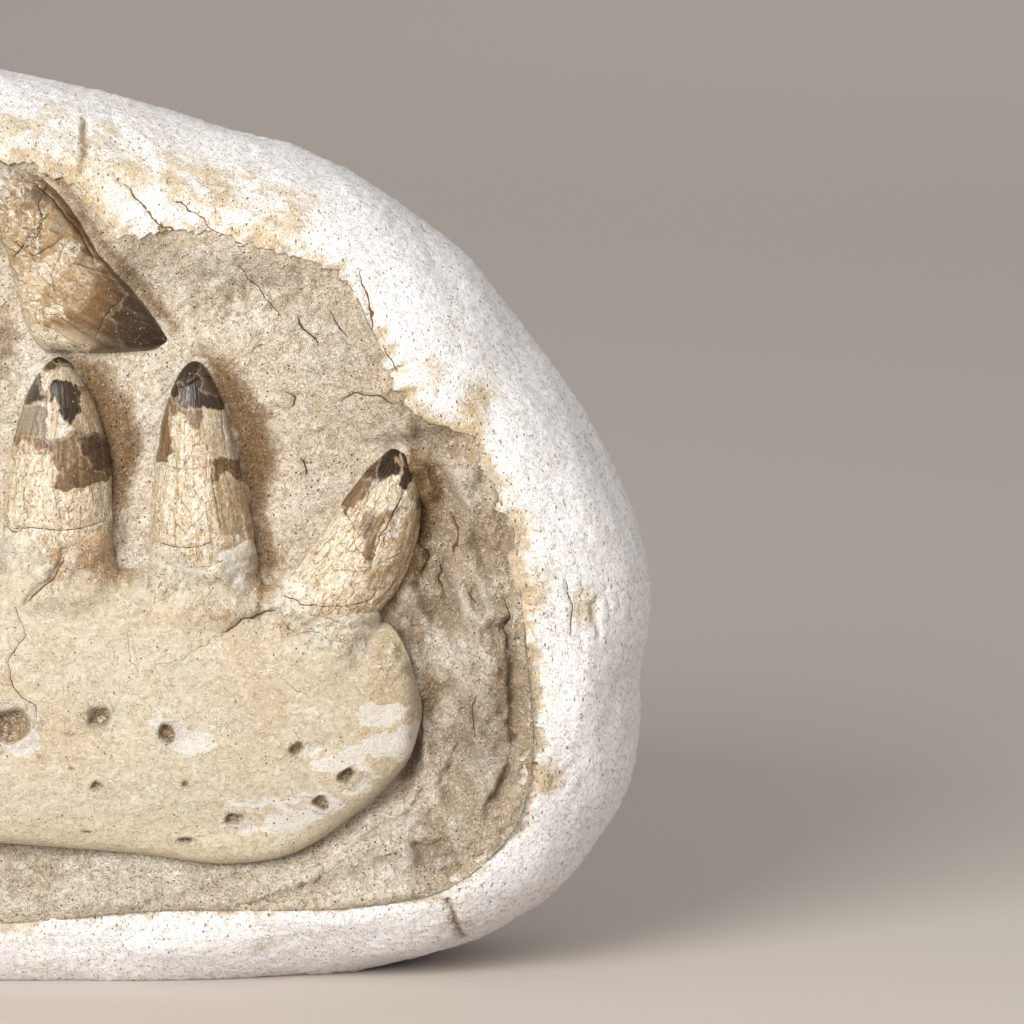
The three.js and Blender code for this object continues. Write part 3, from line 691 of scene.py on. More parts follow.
# Flaked and stained patches: finish, and outline as x, z points in the front view
CROWN_PATCHES = [
    [
        ("cream", [(86, 104), (97, 123), (104, 121), (110, 110), (110, 100), (98, 96)]),
        ("white", [(118.5, 127), (121, 125.5), (120.5, 120), (117.6, 115), (113.6, 114.6), (116, 119)]),
        ("brown", [(114, 139), (112, 133.5), (113, 130.5), (111, 128.5), (108, 127.5), (106.5, 124.5),
                   (103.5, 121), (99, 124.5), (102, 129), (108, 136)]),
        ("dark", [(115, 140), (112, 134), (113, 131), (110, 129), (106, 130.5), (109, 137)]),
        ("cream", [(113.5, 130), (116.5, 130.5), (117, 127.5), (118.5, 127), (117.5, 124.5), (115.5, 122),
                   (112, 121), (110, 122), (108, 123.5), (109, 127), (110.5, 128)]),
        ("brown", [(108, 121.5), (113, 120.5), (113.5, 118.5), (111.5, 115), (110.5, 111.5), (110, 108.5),
                   (107.5, 111.5), (108, 115), (107.5, 119)]),
        ("black", [(112.5, 139), (118, 141), (118.4, 136.6), (117.2, 135.8), (116.8, 134.9), (114.6, 134.9),
                   (115, 133.6), (117, 133), (116.5, 130.5), (113.5, 130), (111, 128.5), (111.5, 133)]),
        ("tan", [(119.5, 138), (124, 136), (124, 124), (119, 124), (118.6, 126.8)]),
        ("black", [(118.6, 139), (119.8, 137), (120.3, 134.6), (120.1, 131.6), (119.5, 127.9),
                   (118.6, 126.8), (117.6, 126.8), (116.8, 128), (117, 130), (118.2, 133.2), (118.2, 136)]),
        ("tan", [(107, 106.5), (112, 108), (118, 108), (116, 101), (110, 101)]),
        ("tan", [(119, 121), (123, 121), (122, 112), (118, 106), (113, 104), (116, 110), (117.6, 116)]),
    ],
    [
        ("beige", [(68.5, 147), (75, 147), (79, 136), (79, 133), (74, 134.5), (70.5, 134), (69, 137.5),
                   (68, 141.5)]),
        ("tan", [(69.5, 134), (74, 135), (80, 134), (82, 124), (83, 113), (73, 116), (70.8, 124)]),
        ("brown", [(70.2, 133.8), (74, 134.6), (79, 134), (80, 127.6), (77, 129.6), (73, 131),
                   (71, 128.6)]),
        ("brown", [(59, 150), (60.5, 146.5), (59.5, 144), (59, 138.5), (60, 136), (58, 133.5), (54, 132),
                   (55, 141), (57, 148)]),
        ("cream", [(59.5, 146), (63, 146), (63.5, 144), (66, 141.5), (68, 139), (68, 136), (64.5, 133),
                   (62, 133.5), (60.5, 137.5), (59.5, 140)]),
        ("brown", [(59, 149.5), (68, 147.5), (68, 144.5), (67, 142), (65, 143), (63.5, 145), (61.5, 146),
                   (59.5, 144)]),
        ("black", [(66, 162), (60, 158), (58, 152), (60, 150), (62.5, 147.5), (66, 147), (68.5, 147),
                   (71, 146.5), (75, 146.5), (74, 154), (70, 161)]),
        ("slate", [(68, 157), (71, 154), (71.5, 150), (69, 151), (67.5, 154)]),
        ("slate", [(61.6, 153), (62.6, 153.4), (63, 149.4), (62, 149)]),
    ],
    [
        ("cream", [(14, 137), (20, 134), (23, 137), (30, 136), (31.5, 127), (33, 116), (14, 114)]),
        ("brown", [(30, 140), (35.5, 142), (40.5, 140), (46, 141), (47, 130.5), (41, 128.4), (36, 127.2),
                   (31.2, 127.8), (30.8, 136.4), (26, 138), (25, 140.2)]),
        ("dark", [(37, 140), (46, 141), (47, 132), (41, 132), (38.5, 136)]),
        ("grey", [(18, 147), (25, 149), (28, 147), (28.5, 144), (27.5, 141), (23.5, 140.5), (18, 140.5)]),
        ("white", [(25.5, 149), (31, 149.5), (32.5, 146), (35.5, 143), (33.5, 141), (29.5, 139.5),
                   (28, 140), (29, 144), (28, 147)]),
        ("tan", [(37.5, 151), (42, 150), (46, 144), (43, 140.5), (40.5, 140.5), (37, 142), (36, 145),
                 (37, 147.5)]),
        ("slate", [(31, 162), (26, 158), (20, 147), (25.5, 149), (28.5, 150), (27.5, 152), (29, 156.5),
                   (31, 157.5), (34, 158), (36, 160)]),
        ("dark", [(26.6, 157.2), (28.6, 160), (34, 160), (36.4, 157.6), (35.2, 156.2), (32, 156.8),
                  (28.5, 156)]),
        ("black", [(27, 160), (36, 162), (37, 158), (31, 158.6)]),
        ("cream", [(27, 154), (27.5, 156), (29.5, 155.5), (29.5, 152.5), (28, 151.5)]),
        ("beige", [(32.5, 157.4), (36, 157.4), (39.5, 152), (35.5, 153), (32.5, 154.5), (30, 153.5),
                   (30.5, 156)]),
        ("black", [(30, 153.5), (32.5, 154), (35.5, 153), (37, 151.5), (37, 149), (36.5, 146), (35, 143.5),
                   (33.5, 145), (32, 147), (31.5, 149.5), (29.5, 149.5)]),
    ],
    [], [], [], [],
]
# Longer cracks and grooves in the crowns: depth, half width, and route as x, z points
CROWN_CRACKS = [
    [(0.5, 0.2, [(118.2, 126), (117.5, 124.5), (115, 119.5), (112, 115), (110, 108)]),
     (0.4, 0.16, [(99.6, 125.5), (100.5, 124.5), (103, 121), (105, 117.5), (105.3, 114), (106.5, 112),
                  (110, 107.5)]),
     (0.3, 0.12, [(110, 107.5), (113.5, 108.8), (116.8, 110.4)]), (0.3, 0.12, [(110, 107.5), (108.4, 106.4)]),
     (0.3, 0.1, [(105.4, 131.6), (108.4, 130.6), (110.8, 131.2)]),
     (0.5, 0.22, [(87.3, 99.8), (92, 98.3), (97, 97.5), (103.3, 97.5), (110, 98.5)])],
    [(0.4, 0.16, [(72.5, 146.5), (73, 142), (73.5, 139.5)]),
     (0.4, 0.18, [(70, 134.5), (70.8, 127), (72.5, 117.5)]),
     (0.2, 0.1, [(56, 133), (62, 132), (68, 132.6), (70.5, 133)]),
     (0.2, 0.1, [(61, 152), (64, 153), (68, 155), (71, 154)]),
     (0.3, 0.12, [(58.6, 124), (60.5, 119), (60.2, 114)]), (0.3, 0.12, [(65, 118), (68.8, 121.8)]),
     (0.5, 0.22, [(54.5, 113.4), (62, 112.4), (67, 112.9), (71, 114.4)])],
    [(0.3, 0.1, [(30, 134), (30.6, 127), (33, 118)]), (0.3, 0.11, [(38, 138), (41, 137.2), (45, 137.6)]),
     (0.3, 0.1, [(36, 132.6), (40, 131.8), (45, 133)]),
     (0.3, 0.12, [(24, 134), (22.6, 127), (23.6, 120), (19.6, 114)]),
     (0.3, 0.11, [(31.4, 122.6), (34.6, 121.6), (36.6, 122.6)]),
     (0.3, 0.1, [(39.6, 133), (44, 131), (46, 124)]),
     (0.3, 0.12, [(25.8, 144.6), (26.4, 142), (25.4, 139.6)]),
     (0.5, 0.22, [(17, 116.5), (25, 117.6), (32.8, 117), (38, 117.4), (44, 118.8)])],
    [(0.3, 0.15, [(-8, 114), (-6, 124), (-10, 136), (-8, 148)])],
    [(0.3, 0.15, [(-44, 112), (-41, 124), (-45, 137)])],
    [(0.4, 0.18, [(-80, 113), (-77, 128), (-82, 142)])],
    [(0.4, 0.18, [(-106, 112), (-111, 124), (-110, 134)])],
]
# The mesh: rings up a crown, which crowd towards its tip, and columns round it, finer for the three
# foremost teeth
FINE_CROWN, PLAIN_CROWN = (170, 216), (104, 108)
FINE_CROWNS = 3
SOCKET_RINGS = 9
LAST_RING, RING_CROWDING = 0.9985, 1.3


def lay_patches(x, z, patches, colour, gloss, rise):
    """Lays patches over a colour, a gloss and a rise. Each patch covers its outline, whose edge
    wanders and crumbles by two sizes of noise. A thin dark line runs along its edge, where it
    breaks off, and a pale one just outside, where the enamel has flaked."""
    crumbled_x = x + 0.75 * noise(x, 0, z, 2.4, 71, 3) + 0.25 * noise(x, 0, z, 0.6, 73)
    crumbled_z = z + 0.75 * noise(x, 0, z, 2.4, 75, 3) + 0.25 * noise(x, 0, z, 0.6, 77)
    for finish, outline in patches:
        hex_code, shine, step = CROWN_FINISHES[finish]
        within = inside(crumbled_x, crumbled_z, outline)
        mask = smooth(-PATCH_EDGE, PATCH_EDGE, within)
        break_line = np.exp(-((within / 0.22) ** 2)) * 0.3
        flaked_edge = np.exp(-(((within + 0.5) / 0.25) ** 2)) * 0.3
        colour = paint(colour, [(mask, hex_code), (flaked_edge, "#CBBEA9"), (break_line, "#674F33")])
        gloss = gloss + (shine - gloss) * mask
        rise = rise + (step - rise) * mask
    return colour, gloss, rise


def outward(rows):
    """The outward normals of rings round an axis: the cross product of the steps along the rings'
    axis and round it, turned to point away from the middle of each ring."""
    normal = np.cross(np.gradient(rows, axis=0), np.roll(rows, -1, 1) - np.roll(rows, 1, 1))
    normal /= np.maximum(np.linalg.norm(normal, axis=-1, keepdims=True), 1e-9)
    away_from_axis = np.sum(normal * (rows - rows.mean(1, keepdims=True)))
    return normal * np.sign(away_from_axis)


def crown_form(tooth, taper, grid):
    """A crown's surface, and at each point the share t of its height, the turn round its axis from
    the front, and the way up it. Its half width tapers by its own two powers and narrows again
    down in the socket, its axis bows sideways by 4t(1 - t) of the bow, and its section is an
    ellipse. The turn is pi(0.55s + 0.45s^3) of even steps s, which crowds the front."""
    (bx, bz), (tx, tz), radius, bow = tooth
    full_length = math.hypot(tx - bx, tz - bz)
    length = CROWN_SHARE * full_length
    ux, uz = (tx - bx) / full_length, (tz - bz) / full_length
    rings, columns = grid
    in_socket = np.linspace(-SOCKET_DEPTH / length, 0, SOCKET_RINGS + 1)[:-1]
    above = 1 - (1 - np.linspace(0, LAST_RING, rings - SOCKET_RINGS)) ** RING_CROWDING
    t = np.concatenate([in_socket, above])[:, None]
    s = np.linspace(-1, 1, columns, endpoint=False)
    turn = np.pi * (0.55 * s + 0.45 * s**3)
    sunk = np.clip(-t * length / SOCKET_DEPTH, 0, 1)
    half = radius * (1 - np.clip(t, 0, 1) ** taper[0]) ** taper[1] * (1 - (1 - BASE_SHARE) * sunk)
    side = half * np.sin(turn) + bow * 4 * np.clip(t, 0, 1) * (1 - t)
    up = t * length + 0 * side
    y = TOOTH_AXIS_Y - half * TOOTH_FLATNESS * np.cos(turn)
    return np.stack([bx + ux * up + uz * side, y, bz + uz * up - ux * side], -1), t, turn, up


def crown(number, tooth, taper, bands, patches, cracks, grid):
    """A crown. Bands of tan and brown enamel climb it with wavy edges, patches lie over them, its
    right side, away from the lamp, is painted darker as shade, and fine flutes run up it."""
    rows, t, turn, up = crown_form(tooth, taper, grid)
    x, y, z = np.moveaxis(rows, -1, 0)
    in_front = np.cos(turn) > 0
    across = tooth[2] * turn + 0 * up + 40 * number
    wave = 0.05 * noise(across / 6, 0, up / 8, 1, 85, 2)
    tan_from, brown_from, black_from = bands
    brown = smooth(brown_from - 0.02, brown_from + 0.03, t + wave)
    blotches = smooth(0.3, 0.6, 0.5 + 0.5 * noise(across / 4, 0, up / 9, 1, 87, 2))
    colour = paint("#CCC0A9", [
        (blotches * 0.4, "#B29C78"),
        (smooth(tan_from - 0.03, tan_from + 0.05, t + wave) * 0.9, "#A28863"),
        (brown, "#71573D"),
    ])
    gloss = 0.25 + 0.55 * brown
    rise = 0.15 * smooth(tan_from - 0.01, tan_from + 0.01, t + wave) + 0 * x
    if not patches:
        flaked = noise(across / 5, 0, up / 6, 1, 91, 3) - 0.25 - 0.9 * smooth(0.55, 0.9, t)
        colour = paint(colour, [
            (smooth(0, 0.05, flaked), "#CBBC9D"),
            (np.exp(-((flaked / 0.04) ** 2)) * 0.4, "#5D462B"),
            (smooth(black_from - 0.01, black_from + 0.01, t + wave), "#261E1C"),
        ])
        gloss = gloss + (0.95 - gloss) * smooth(black_from, black_from + 0.02, t + wave)
        rise = rise - 0.25 * smooth(0, 0.05, flaked)
    colour, gloss, rise = lay_patches(x, z, patches, colour, gloss, rise)
    # Painted shade: the crown's right side, away from the lamp, is darkened.
    stain_and_shade = smooth(0.05, 0.85, np.sin(turn) + 0.3 * noise(x, 0, z, 5, 93, 2)) * (np.cos(turn) > -0.2)
    foot = smooth(1.0, 0.2, np.abs(up - 0.2 + 0.9 * noise(across / 4, 0, 0, 1, 97, 2)))
    foot = foot * smooth(-0.2, 0.5, noise(across / 6, 0, 0, 1, 98))
    colour = paint(colour, [
        (stain_and_shade * smooth(0.3, 0.8, gloss) * 0.45, "#3D2B1D"),
        (stain_and_shade * smooth(0.4, 0.2, gloss) * 0.6, "#AA9168"),
        (foot * 0.4, "#796143"),
    ])
    wander = x + 0.25 * noise(x, 0, z, 1.5, 95)
    cut = np.maximum.reduce([line for _, line in grooves(wander, z, cracks, 0.2)]) * in_front
    flutes = 0.14 * noise(across / 1.9, 0, up / 24, 1, 99, 2) * smooth(0.75, 0.4, t)
    grain = 0.3 * noise(x, y, z, 6.5, 101, 2) + 0.14 * noise(x, y, z, 1.4, 103, 2) * smooth(0.75, 0.5, t)
    neck = 0.3 * smooth(1.6, 0, np.abs(up)) * smooth(0.97, 0.9, t)
    relief = (rise + flutes + grain - 0.35 * cut - neck - WORN_BY) * smooth(1, 0.93, t)
    marks = {"paint": colour, "gloss": gloss, "across": across, "along": up,
             **crack_lines(wander, z, cracks, in_front)}
    make_rings(f"tooth_{number}_crown", rows + outward(rows) * relief[..., None], marks, enamel,
               f"tooth_{number}")


# Tooth enamel over dentine: the enamel is glassy and dark, stained by minerals, and streaked along
# the crown; where it has flaked, the dentine under it is dull, cream and crazed with fine cracks.
ENAMEL_FLECK, ENAMEL_DRIFT, ENAMEL_CURL = 0.6, 1.8, 1.5  # waves of its patterns
PIT_SPACING, PIT_EDGE = 1.5, (0.15, 0.07)
STREAKS_PER_MM, CRAZES_PER_MM = 0.55, 0.34
enamel, tree = new_material("stained tooth enamel")
coords = add(tree, "TexCoord").outputs["Object"]
painted = add(tree, "Attribute", attribute_name="paint").outputs["Color"]
glossy = add(tree, "Attribute", attribute_name="gloss").outputs["Fac"]
across = add(tree, "Attribute", attribute_name="across").outputs["Fac"]
along = add(tree, "Attribute", attribute_name="along").outputs["Fac"]
on_crown = add(tree, "CombineXYZ", {"X": across, "Y": along}).outputs[0]
dull = add(tree, "MapRange", {"Value": glossy, "From Min": 0.65, "From Max": 0.35}).outputs[0]
fleck = add(tree, "TexNoise", {"Vector": coords, "Scale": 1 / (ENAMEL_FLECK * MM), "Detail": 3.0,
                               "Roughness": 0.7}).outputs["Fac"]
lengthwise = add(tree, "Mapping", {"Vector": on_crown, "Scale": (1, 0.1, 1)}).outputs[0]
streak = add(tree, "TexNoise", {"Vector": lengthwise, "Scale": STREAKS_PER_MM, "Detail": 3.5,
                                "Roughness": 0.55}).outputs["Fac"]
tall = add(tree, "Mapping", {"Vector": on_crown, "Scale": (1, 0.5, 1)}).outputs[0]
mottle = add(tree, "TexNoise", {"Vector": tall, "Scale": STREAKS_PER_MM, "Detail": 5.0, "Roughness": 0.62,
                                "Distortion": 1.6}).outputs["Fac"]
mottle_share = add(tree, "Math", {0: dull, 1: 0.6}, operation="MULTIPLY").outputs[0]
mottle_pale = add(tree, "MapRange", {"Value": mottle, "From Min": 0.49, "From Max": 0.44,
                                     "To Max": mottle_share}).outputs[0]
drift = add(tree, "TexNoise", {"Vector": coords, "Scale": 1 / (ENAMEL_DRIFT * MM), "Detail": 2.0})
drifted = add(tree, "VectorMath", {0: drift.outputs["Color"], 1: (1.1, 1.1, 0), 2: tall},
              operation="MULTIPLY_ADD").outputs[0]
cell_edge = add(tree, "TexVoronoi", {"Vector": drifted, "Scale": CRAZES_PER_MM, "Randomness": 1.0},
                feature="DISTANCE_TO_EDGE").outputs["Distance"]
craze_share = add(tree, "MapRange", {"Value": mottle, "From Min": 0.4, "From Max": 0.55, "To Max": 0.85})
craze_share = add(tree, "Math", {0: craze_share.outputs[0], 1: dull}, operation="MULTIPLY").outputs[0]
craze = add(tree, "MapRange", {"Value": cell_edge, "From Min": 0.024, "From Max": 0.008,
                               "To Max": craze_share}).outputs[0]
line = crack_mask(tree, fleck)
pit = dots(tree, coords, PIT_SPACING, PIT_EDGE, 0, (0.55, 0.551))
ridge, furrow = curls(tree, coords, ENAMEL_CURL, 0.05, dull)
# Painted highlight on the curls' ridges and painted shade in their furrows.
ridge_highlight = add(tree, "Math", {0: ridge, 1: 0.8}, operation="MULTIPLY").outputs[0]
furrow_shade = add(tree, "Math", {0: furrow, 1: 0.9}, operation="MULTIPLY").outputs[0]
tan_share = add(tree, "Math", {0: dull, 1: 0.55}, operation="MULTIPLY").outputs[0]
pale_share = add(tree, "MapRange", {"Value": glossy, "From Min": 0.75, "From Max": 0.95, "To Min": 1.0,
                                    "To Max": 0.3}).outputs[0]
streak_share = add(tree, "Math", {0: pale_share, 1: 0.22}, operation="MULTIPLY").outputs[0]
fleck_share = add(tree, "Math", {0: pale_share, 1: 0.3}, operation="MULTIPLY").outputs[0]
streak_tone = add(tree, "Mix", {0: dull, 6: "#3E2C1A", 7: "#A58A60"}, data_type="RGBA").outputs[2]
# On glossy enamel the dots are pale painted glints, on dull dentine dark pits.
glint_and_pit_tone = add(tree, "Mix", {0: dull, 6: "#AA9D89", 7: "#684B2B"}, data_type="RGBA").outputs[2]
colour = lay_tones(tree, painted, [
    (mottle, 0.53, 0.58, tan_share, "#A28153"),
    (mottle_pale, 0, 1, 1.0, "#DED6C8"),
    (streak, 0.51, 0.62, 0.6, streak_tone),
    (streak, 0.46, 0.3, streak_share, "#C0B195"),
    (fleck, 0.46, 0.28, fleck_share, "#CEC5B5"),
    (fleck, 0.52, 0.72, 0.45, "#5A3F24"),
], [
    (pit, glint_and_pit_tone), (craze, "#6A4C2B"), (line, "#4B341D"),
    (ridge_highlight, "#E2DCD0"), (furrow_shade, "#866338"),
])
fleck_height = add(tree, "Math", {0: dull, 1: 0.9, 2: 0.25}, operation="MULTIPLY_ADD").outputs[0]
height = stack_heights(tree, streak, [
    (fleck, fleck_height), (mottle_pale, 0.4), (ridge, 0.35), (craze, -0.6), (line, -1.0),
])
bump = add(tree, "Bump", {"Height": height, "Strength": 0.9, "Distance": 0.35 * MM}).outputs["Normal"]
rough = add(tree, "MapRange", {"Value": glossy, "To Min": 0.78, "To Max": 0.22}).outputs[0]
surface = add(tree, "BsdfPrincipled", {"Base Color": colour, "Roughness": rough, "IOR": 1.5, "Normal": bump,
                                       "Specular IOR Level": 0.3})
add(tree, "OutputMaterial", {"Surface": surface.outputs["BSDF"]})

for number, (tooth, taper, bands, patches, cracks) in enumerate(
        zip(TEETH, CROWN_TAPERS, CROWN_BANDS, CROWN_PATCHES, CROWN_CRACKS), 1):
    crown(number, tooth, taper, bands, patches, cracks, FINE_CROWN if number <= FINE_CROWNS else PLAIN_CROWN)

# ---------------------------------------------------------------------------------------------
# Loose tooth: a larger crown that lies above the jaw with its root in the matrix. It is brown and
# glossy at the tip, has a dark keel along its upper edge, and is broken to dentine at its neck.

LOOSE_AXIS_Y = -34.1
# Along the tooth: x, lower edge, upper edge, half depth
LOOSE_SECTIONS = np.array([
    (-11, 190, 204, 5), (-8, 187, 207, 8), (2, 184.5, 210.2, 10), (12, 186, 210.8, 11),
    (17, 189, 209.6, 11.6), (20, 181, 208.2, 12.2), (23, 168.5, 207, 13), (27, 161.6, 205.2, 13.6),
    (33.5, 160.4, 199.8, 13.4), (41.5, 160.1, 188.4, 10.6), (49.5, 160.4, 176.8, 7),
    (55, 160.9, 169.7, 4.6), (58.4, 161.7, 165.4, 2.6),
])
LOOSE_NECK = 17
ROOT_ROUNDING = 3
# The tip closes as the square root of 1 - t^power from its start, over its length
TIP_START, TIP_LENGTH, TIP_POWER = 54, 4.9, 2.4
TIP_REACH = 3.9  # how far the rings round the tip go past the last section but one
LOOSE_SECTION_POWER = 2.2
# The crown's middle, the direction from there to its tip, and its length
CROWN_MIDDLE, CROWN_HEADING, CROWN_LENGTH = (24, 184), (0.87, -0.5), 41
# Flaked and stained patches: finish, and outline as x, z points in the front view
LOOSE_PATCHES = [
    ("cream", [(24, 158), (40, 158.5), (40, 162.5), (34, 164), (31, 168), (24, 168)]),
    ("cream", [(27, 159), (20, 168), (20, 178), (25, 182.5), (29.5, 186), (34, 190.5), (37.5, 188), (36, 184),
               (31.5, 181), (28.5, 178), (27.5, 174.5), (28, 171), (29, 167), (31, 162), (33, 158)]),
    ("tan", [(29, 178), (33, 181), (36, 184), (40, 182), (41, 176), (37, 172), (33.5, 174.5), (30, 174)]),
    ("cream", [(28.5, 173.5), (33.5, 174.5), (33.5, 169.8), (31.5, 170.5), (28, 171)]),
    ("dark", [(49, 176), (54, 178), (64, 168), (62, 160), (50, 158), (47.5, 164.5), (46, 170)]),
    ("brown", [(29, 205.5), (35, 201), (41, 195), (47, 188), (52, 180), (49, 177), (45, 180.5), (41, 182),
               (38.5, 186.5), (35.5, 191), (33.5, 195), (34.6, 197), (31.5, 200.5), (28.5, 202.5)]),
    ("grey", [(24, 203), (30.5, 202.4), (30.5, 199.5), (28.5, 197), (24.6, 197.5)]),
    ("grey", [(29.5, 195.7), (33.5, 196.4), (34.5, 193.4), (32.5, 192), (30, 192.8)]),
    ("white", [(32.5, 189.5), (36, 189), (38, 188), (37.5, 186.5), (35, 187), (32.5, 188)]),
    ("beige", [(38, 185.5), (40.5, 185.5), (42, 183), (41.4, 181.8), (39.5, 182), (38.5, 184)]),
    ("white", [(10, 210), (17, 209), (24, 206.4), (20.5, 203), (19, 199.5), (10, 199)]),
]
# Cracks and grooves: depth, half width, and route as x, z points
LOOSE_CRACKS = [
    (0.4, 0.16, [(34, 189), (30, 181), (31.5, 177)]), (0.3, 0.12, [(49, 176), (44, 171), (41, 165)]),
    (0.3, 0.12, [(36, 184), (44, 181)]), (0.5, 0.2, [(29.5, 204), (27, 199), (28.5, 193), (24, 188)]),
    (0.5, 0.2, [(20, 190), (26, 186), (33, 190)]),
    (0.8, 0.5, [(26, 203.3), (32, 198), (36.8, 191.5), (41, 183.6)]),
    (0.9, 0.55, [(29.3, 195.8), (27.3, 192.7), (23, 188.4), (20.6, 184.9)]),
]
# The mesh: rings round the root's end, along the root and the crown, and round the tip
LOOSE_RINGS = (9, 42, 124, 26)
LOOSE_FRONT_COLUMNS, LOOSE_BACK_COLUMNS = 186, 48

root_x, tip_round_x = LOOSE_SECTIONS[0, 0], LOOSE_SECTIONS[-2, 0]
loose_x = np.concatenate([
    root_x + ROOT_ROUNDING * (1 - np.cos(np.linspace(0.1, math.pi / 2, LOOSE_RINGS[0]))),
    np.linspace(root_x + ROOT_ROUNDING, LOOSE_NECK, LOOSE_RINGS[1])[1:],
    np.linspace(LOOSE_NECK, tip_round_x, LOOSE_RINGS[2])[1:],
    tip_round_x + TIP_REACH * np.sin(np.linspace(0, 0.495 * math.pi, LOOSE_RINGS[3]))[1:],
])
low, high, half_depth = spline(np.minimum(loose_x, LOOSE_SECTIONS[-1, 0]), LOOSE_SECTIONS)[..., None]
into_tip = np.clip((loose_x - TIP_START) / TIP_LENGTH, 0, 1)
into_root = 1 - np.clip((loose_x - root_x + 0.05) / ROOT_ROUNDING, 0, 1)
close = np.sqrt(np.clip(1 - into_tip**TIP_POWER, 1e-4, 1)) * np.sqrt(1 - into_root**2)
close = close[:, None]
up, front = flat_section(LOOSE_FRONT_COLUMNS, LOOSE_BACK_COLUMNS)
x = loose_x[:, None] + 0 * up
z = (low + high) / 2 + (high - low) / 2 * close * up
section = (1 - np.abs(up) ** LOOSE_SECTION_POWER) ** (1 / LOOSE_SECTION_POWER)
thick = half_depth * close * section
from_middle = x - CROWN_MIDDLE[0], z - CROWN_MIDDLE[1]
tip_share = (from_middle[0] * CROWN_HEADING[0] + from_middle[1] * CROWN_HEADING[1]) / CROWN_LENGTH
across = from_middle[1] * CROWN_HEADING[0] - from_middle[0] * CROWN_HEADING[1]

# Colour: tan and brown enamel that darkens to the tip, and crumbly dentine at the neck.
crumbly = smooth(0.12, -0.12, tip_share + 0.08 * noise(x, 0, z, 5, 111, 2)) * smooth(34, 26, x)
colour = paint("#8E7453", [
    (smooth(0.1, 0.5, tip_share + 0.1 * noise(x, 0, z, 9, 113, 2)), "#6C5032"),
    (smooth(0.4, 0.95, tip_share + 0.06 * noise(x, 0, z, 5, 115, 2)), "#463427"),
    (crumbly * 0.9, "#A59679"),
    (crumbly * smooth(0.1, 0.6, noise(x, 0, z, 3, 117, 3)), "#755D45"),
])
gloss = 0.75 * (1 - crumbly) + 0.1
rise = 0.2 * (1 - crumbly)
colour, gloss, rise = lay_patches(x, z, LOOSE_PATCHES, colour, gloss, rise)
keel = np.exp(-(((up - 0.83) / 0.1) ** 2)) * smooth(16, 26, x) * smooth(58, 50, x)
colour = paint(colour, [
    (smooth(0.7, 0.2, tip_share) * 0.35, "#8E6E42"),
    (smooth(0.38, 0.95, tip_share) * 0.8, "#22150B"),
    (blob(x, z, (31, 163, 8, 4)) * 0.8, "#E4D6B8"),
    (keel * 0.5, "#392818"),
    # Painted shade along its upper and lower edges, where it turns away.
    (smooth(0.8, 0.99, np.abs(up)) * smooth(20, 30, x) * 0.5, "#533C23"),
])
wander_x = x + 0.4 * noise(x, 0, z, 1.8, 121)
cut = np.maximum.reduce([line for _, line in grooves(wander_x, z, LOOSE_CRACKS, 0.2)])
relief = (rise + 0.5 * noise(x, 0, z, 9, 123, 2) + 0.1 * noise(x, 0, z, 1.5, 125, 2) - 0.4 * cut - 0.9
          + crumbly * (1.1 * noise(x, 0, z, 4, 127, 3) + 0.3 * noise(x, 0, z, 1, 129)) + 0.7 * keel)
relief = relief * front * smooth(0, 3, thick)
y = LOOSE_AXIS_Y + np.where(front > 0, -1, 1) * thick - relief
marks = {"paint": colour, "gloss": gloss, "across": across, "along": tip_share * CROWN_LENGTH,
         **crack_lines(wander_x, z, LOOSE_CRACKS, front)}
make_rings("loose_tooth_crown", np.stack([x, y, z], -1), marks, enamel, "loose_tooth")

# ---------------------------------------------------------------------------------------------
# Matrix: the soft sandy limestone that the jaw lay in, scraped back by hand until the fossil
# stands proud. It rises to the plaster all round, with a trench under the jaw and rough ledges.

CENTRE = (0, 105)
JACKET_FRONT = 46.5
ROLL = 35
RIM_STEP = 1.5
MATRIX_FIELD_Y = -34.5
MATRIX_BACK_Y = 17.7
RISE_WIDTH = 24
TRENCH_DEPTH = 3.5
TRENCH_WIDTH = 7
# The beds of the fossils: their floor, and how far in from a fossil's edge the wall starts and ends
BED_FLOOR_Y = -19
BED_WALL = (3, 7)
RIM_OVERLAP = 0.4
JACKET_OUTLINE = [
    (180.4, 89), (178.5, 106), (171.5, 124), (159.5, 144), (144.5, 164), (126, 184.5),
    (97, 203.5), (72, 212), (33, 223.5), (-4, 230.5), (-50, 233.5), (-98, 224), (-137, 201),
    (-164, 167), (-177.5, 127), (-180.3, 88), (-171.5, 50), (-153, 18), (-120, -1), (-60, -8),
    (0, -9.5), (60, -8), (111, -1), (140, 7.5), (156, 18), (168, 35), (175, 51), (177.4, 70),
]
MATRIX_OUTLINE = [
    (148, 88), (146.5, 104), (144.5, 120), (137.5, 134), (135, 142.6), (129, 141.5), (122, 147),
    (115, 157), (108, 170), (103, 181.5), (87, 186), (64, 193), (48, 191), (36, 203), (17, 211),
    (-20, 213), (-60, 208), (-104, 192), (-134, 164), (-149, 126), (-150, 88), (-142, 50),
    (-124, 28), (-84, 18), (-20, 16), (29, 18), (54, 20.5), (104, 21), (127, 25),
    (139.5, 33.5), (147, 44), (150, 62),
]
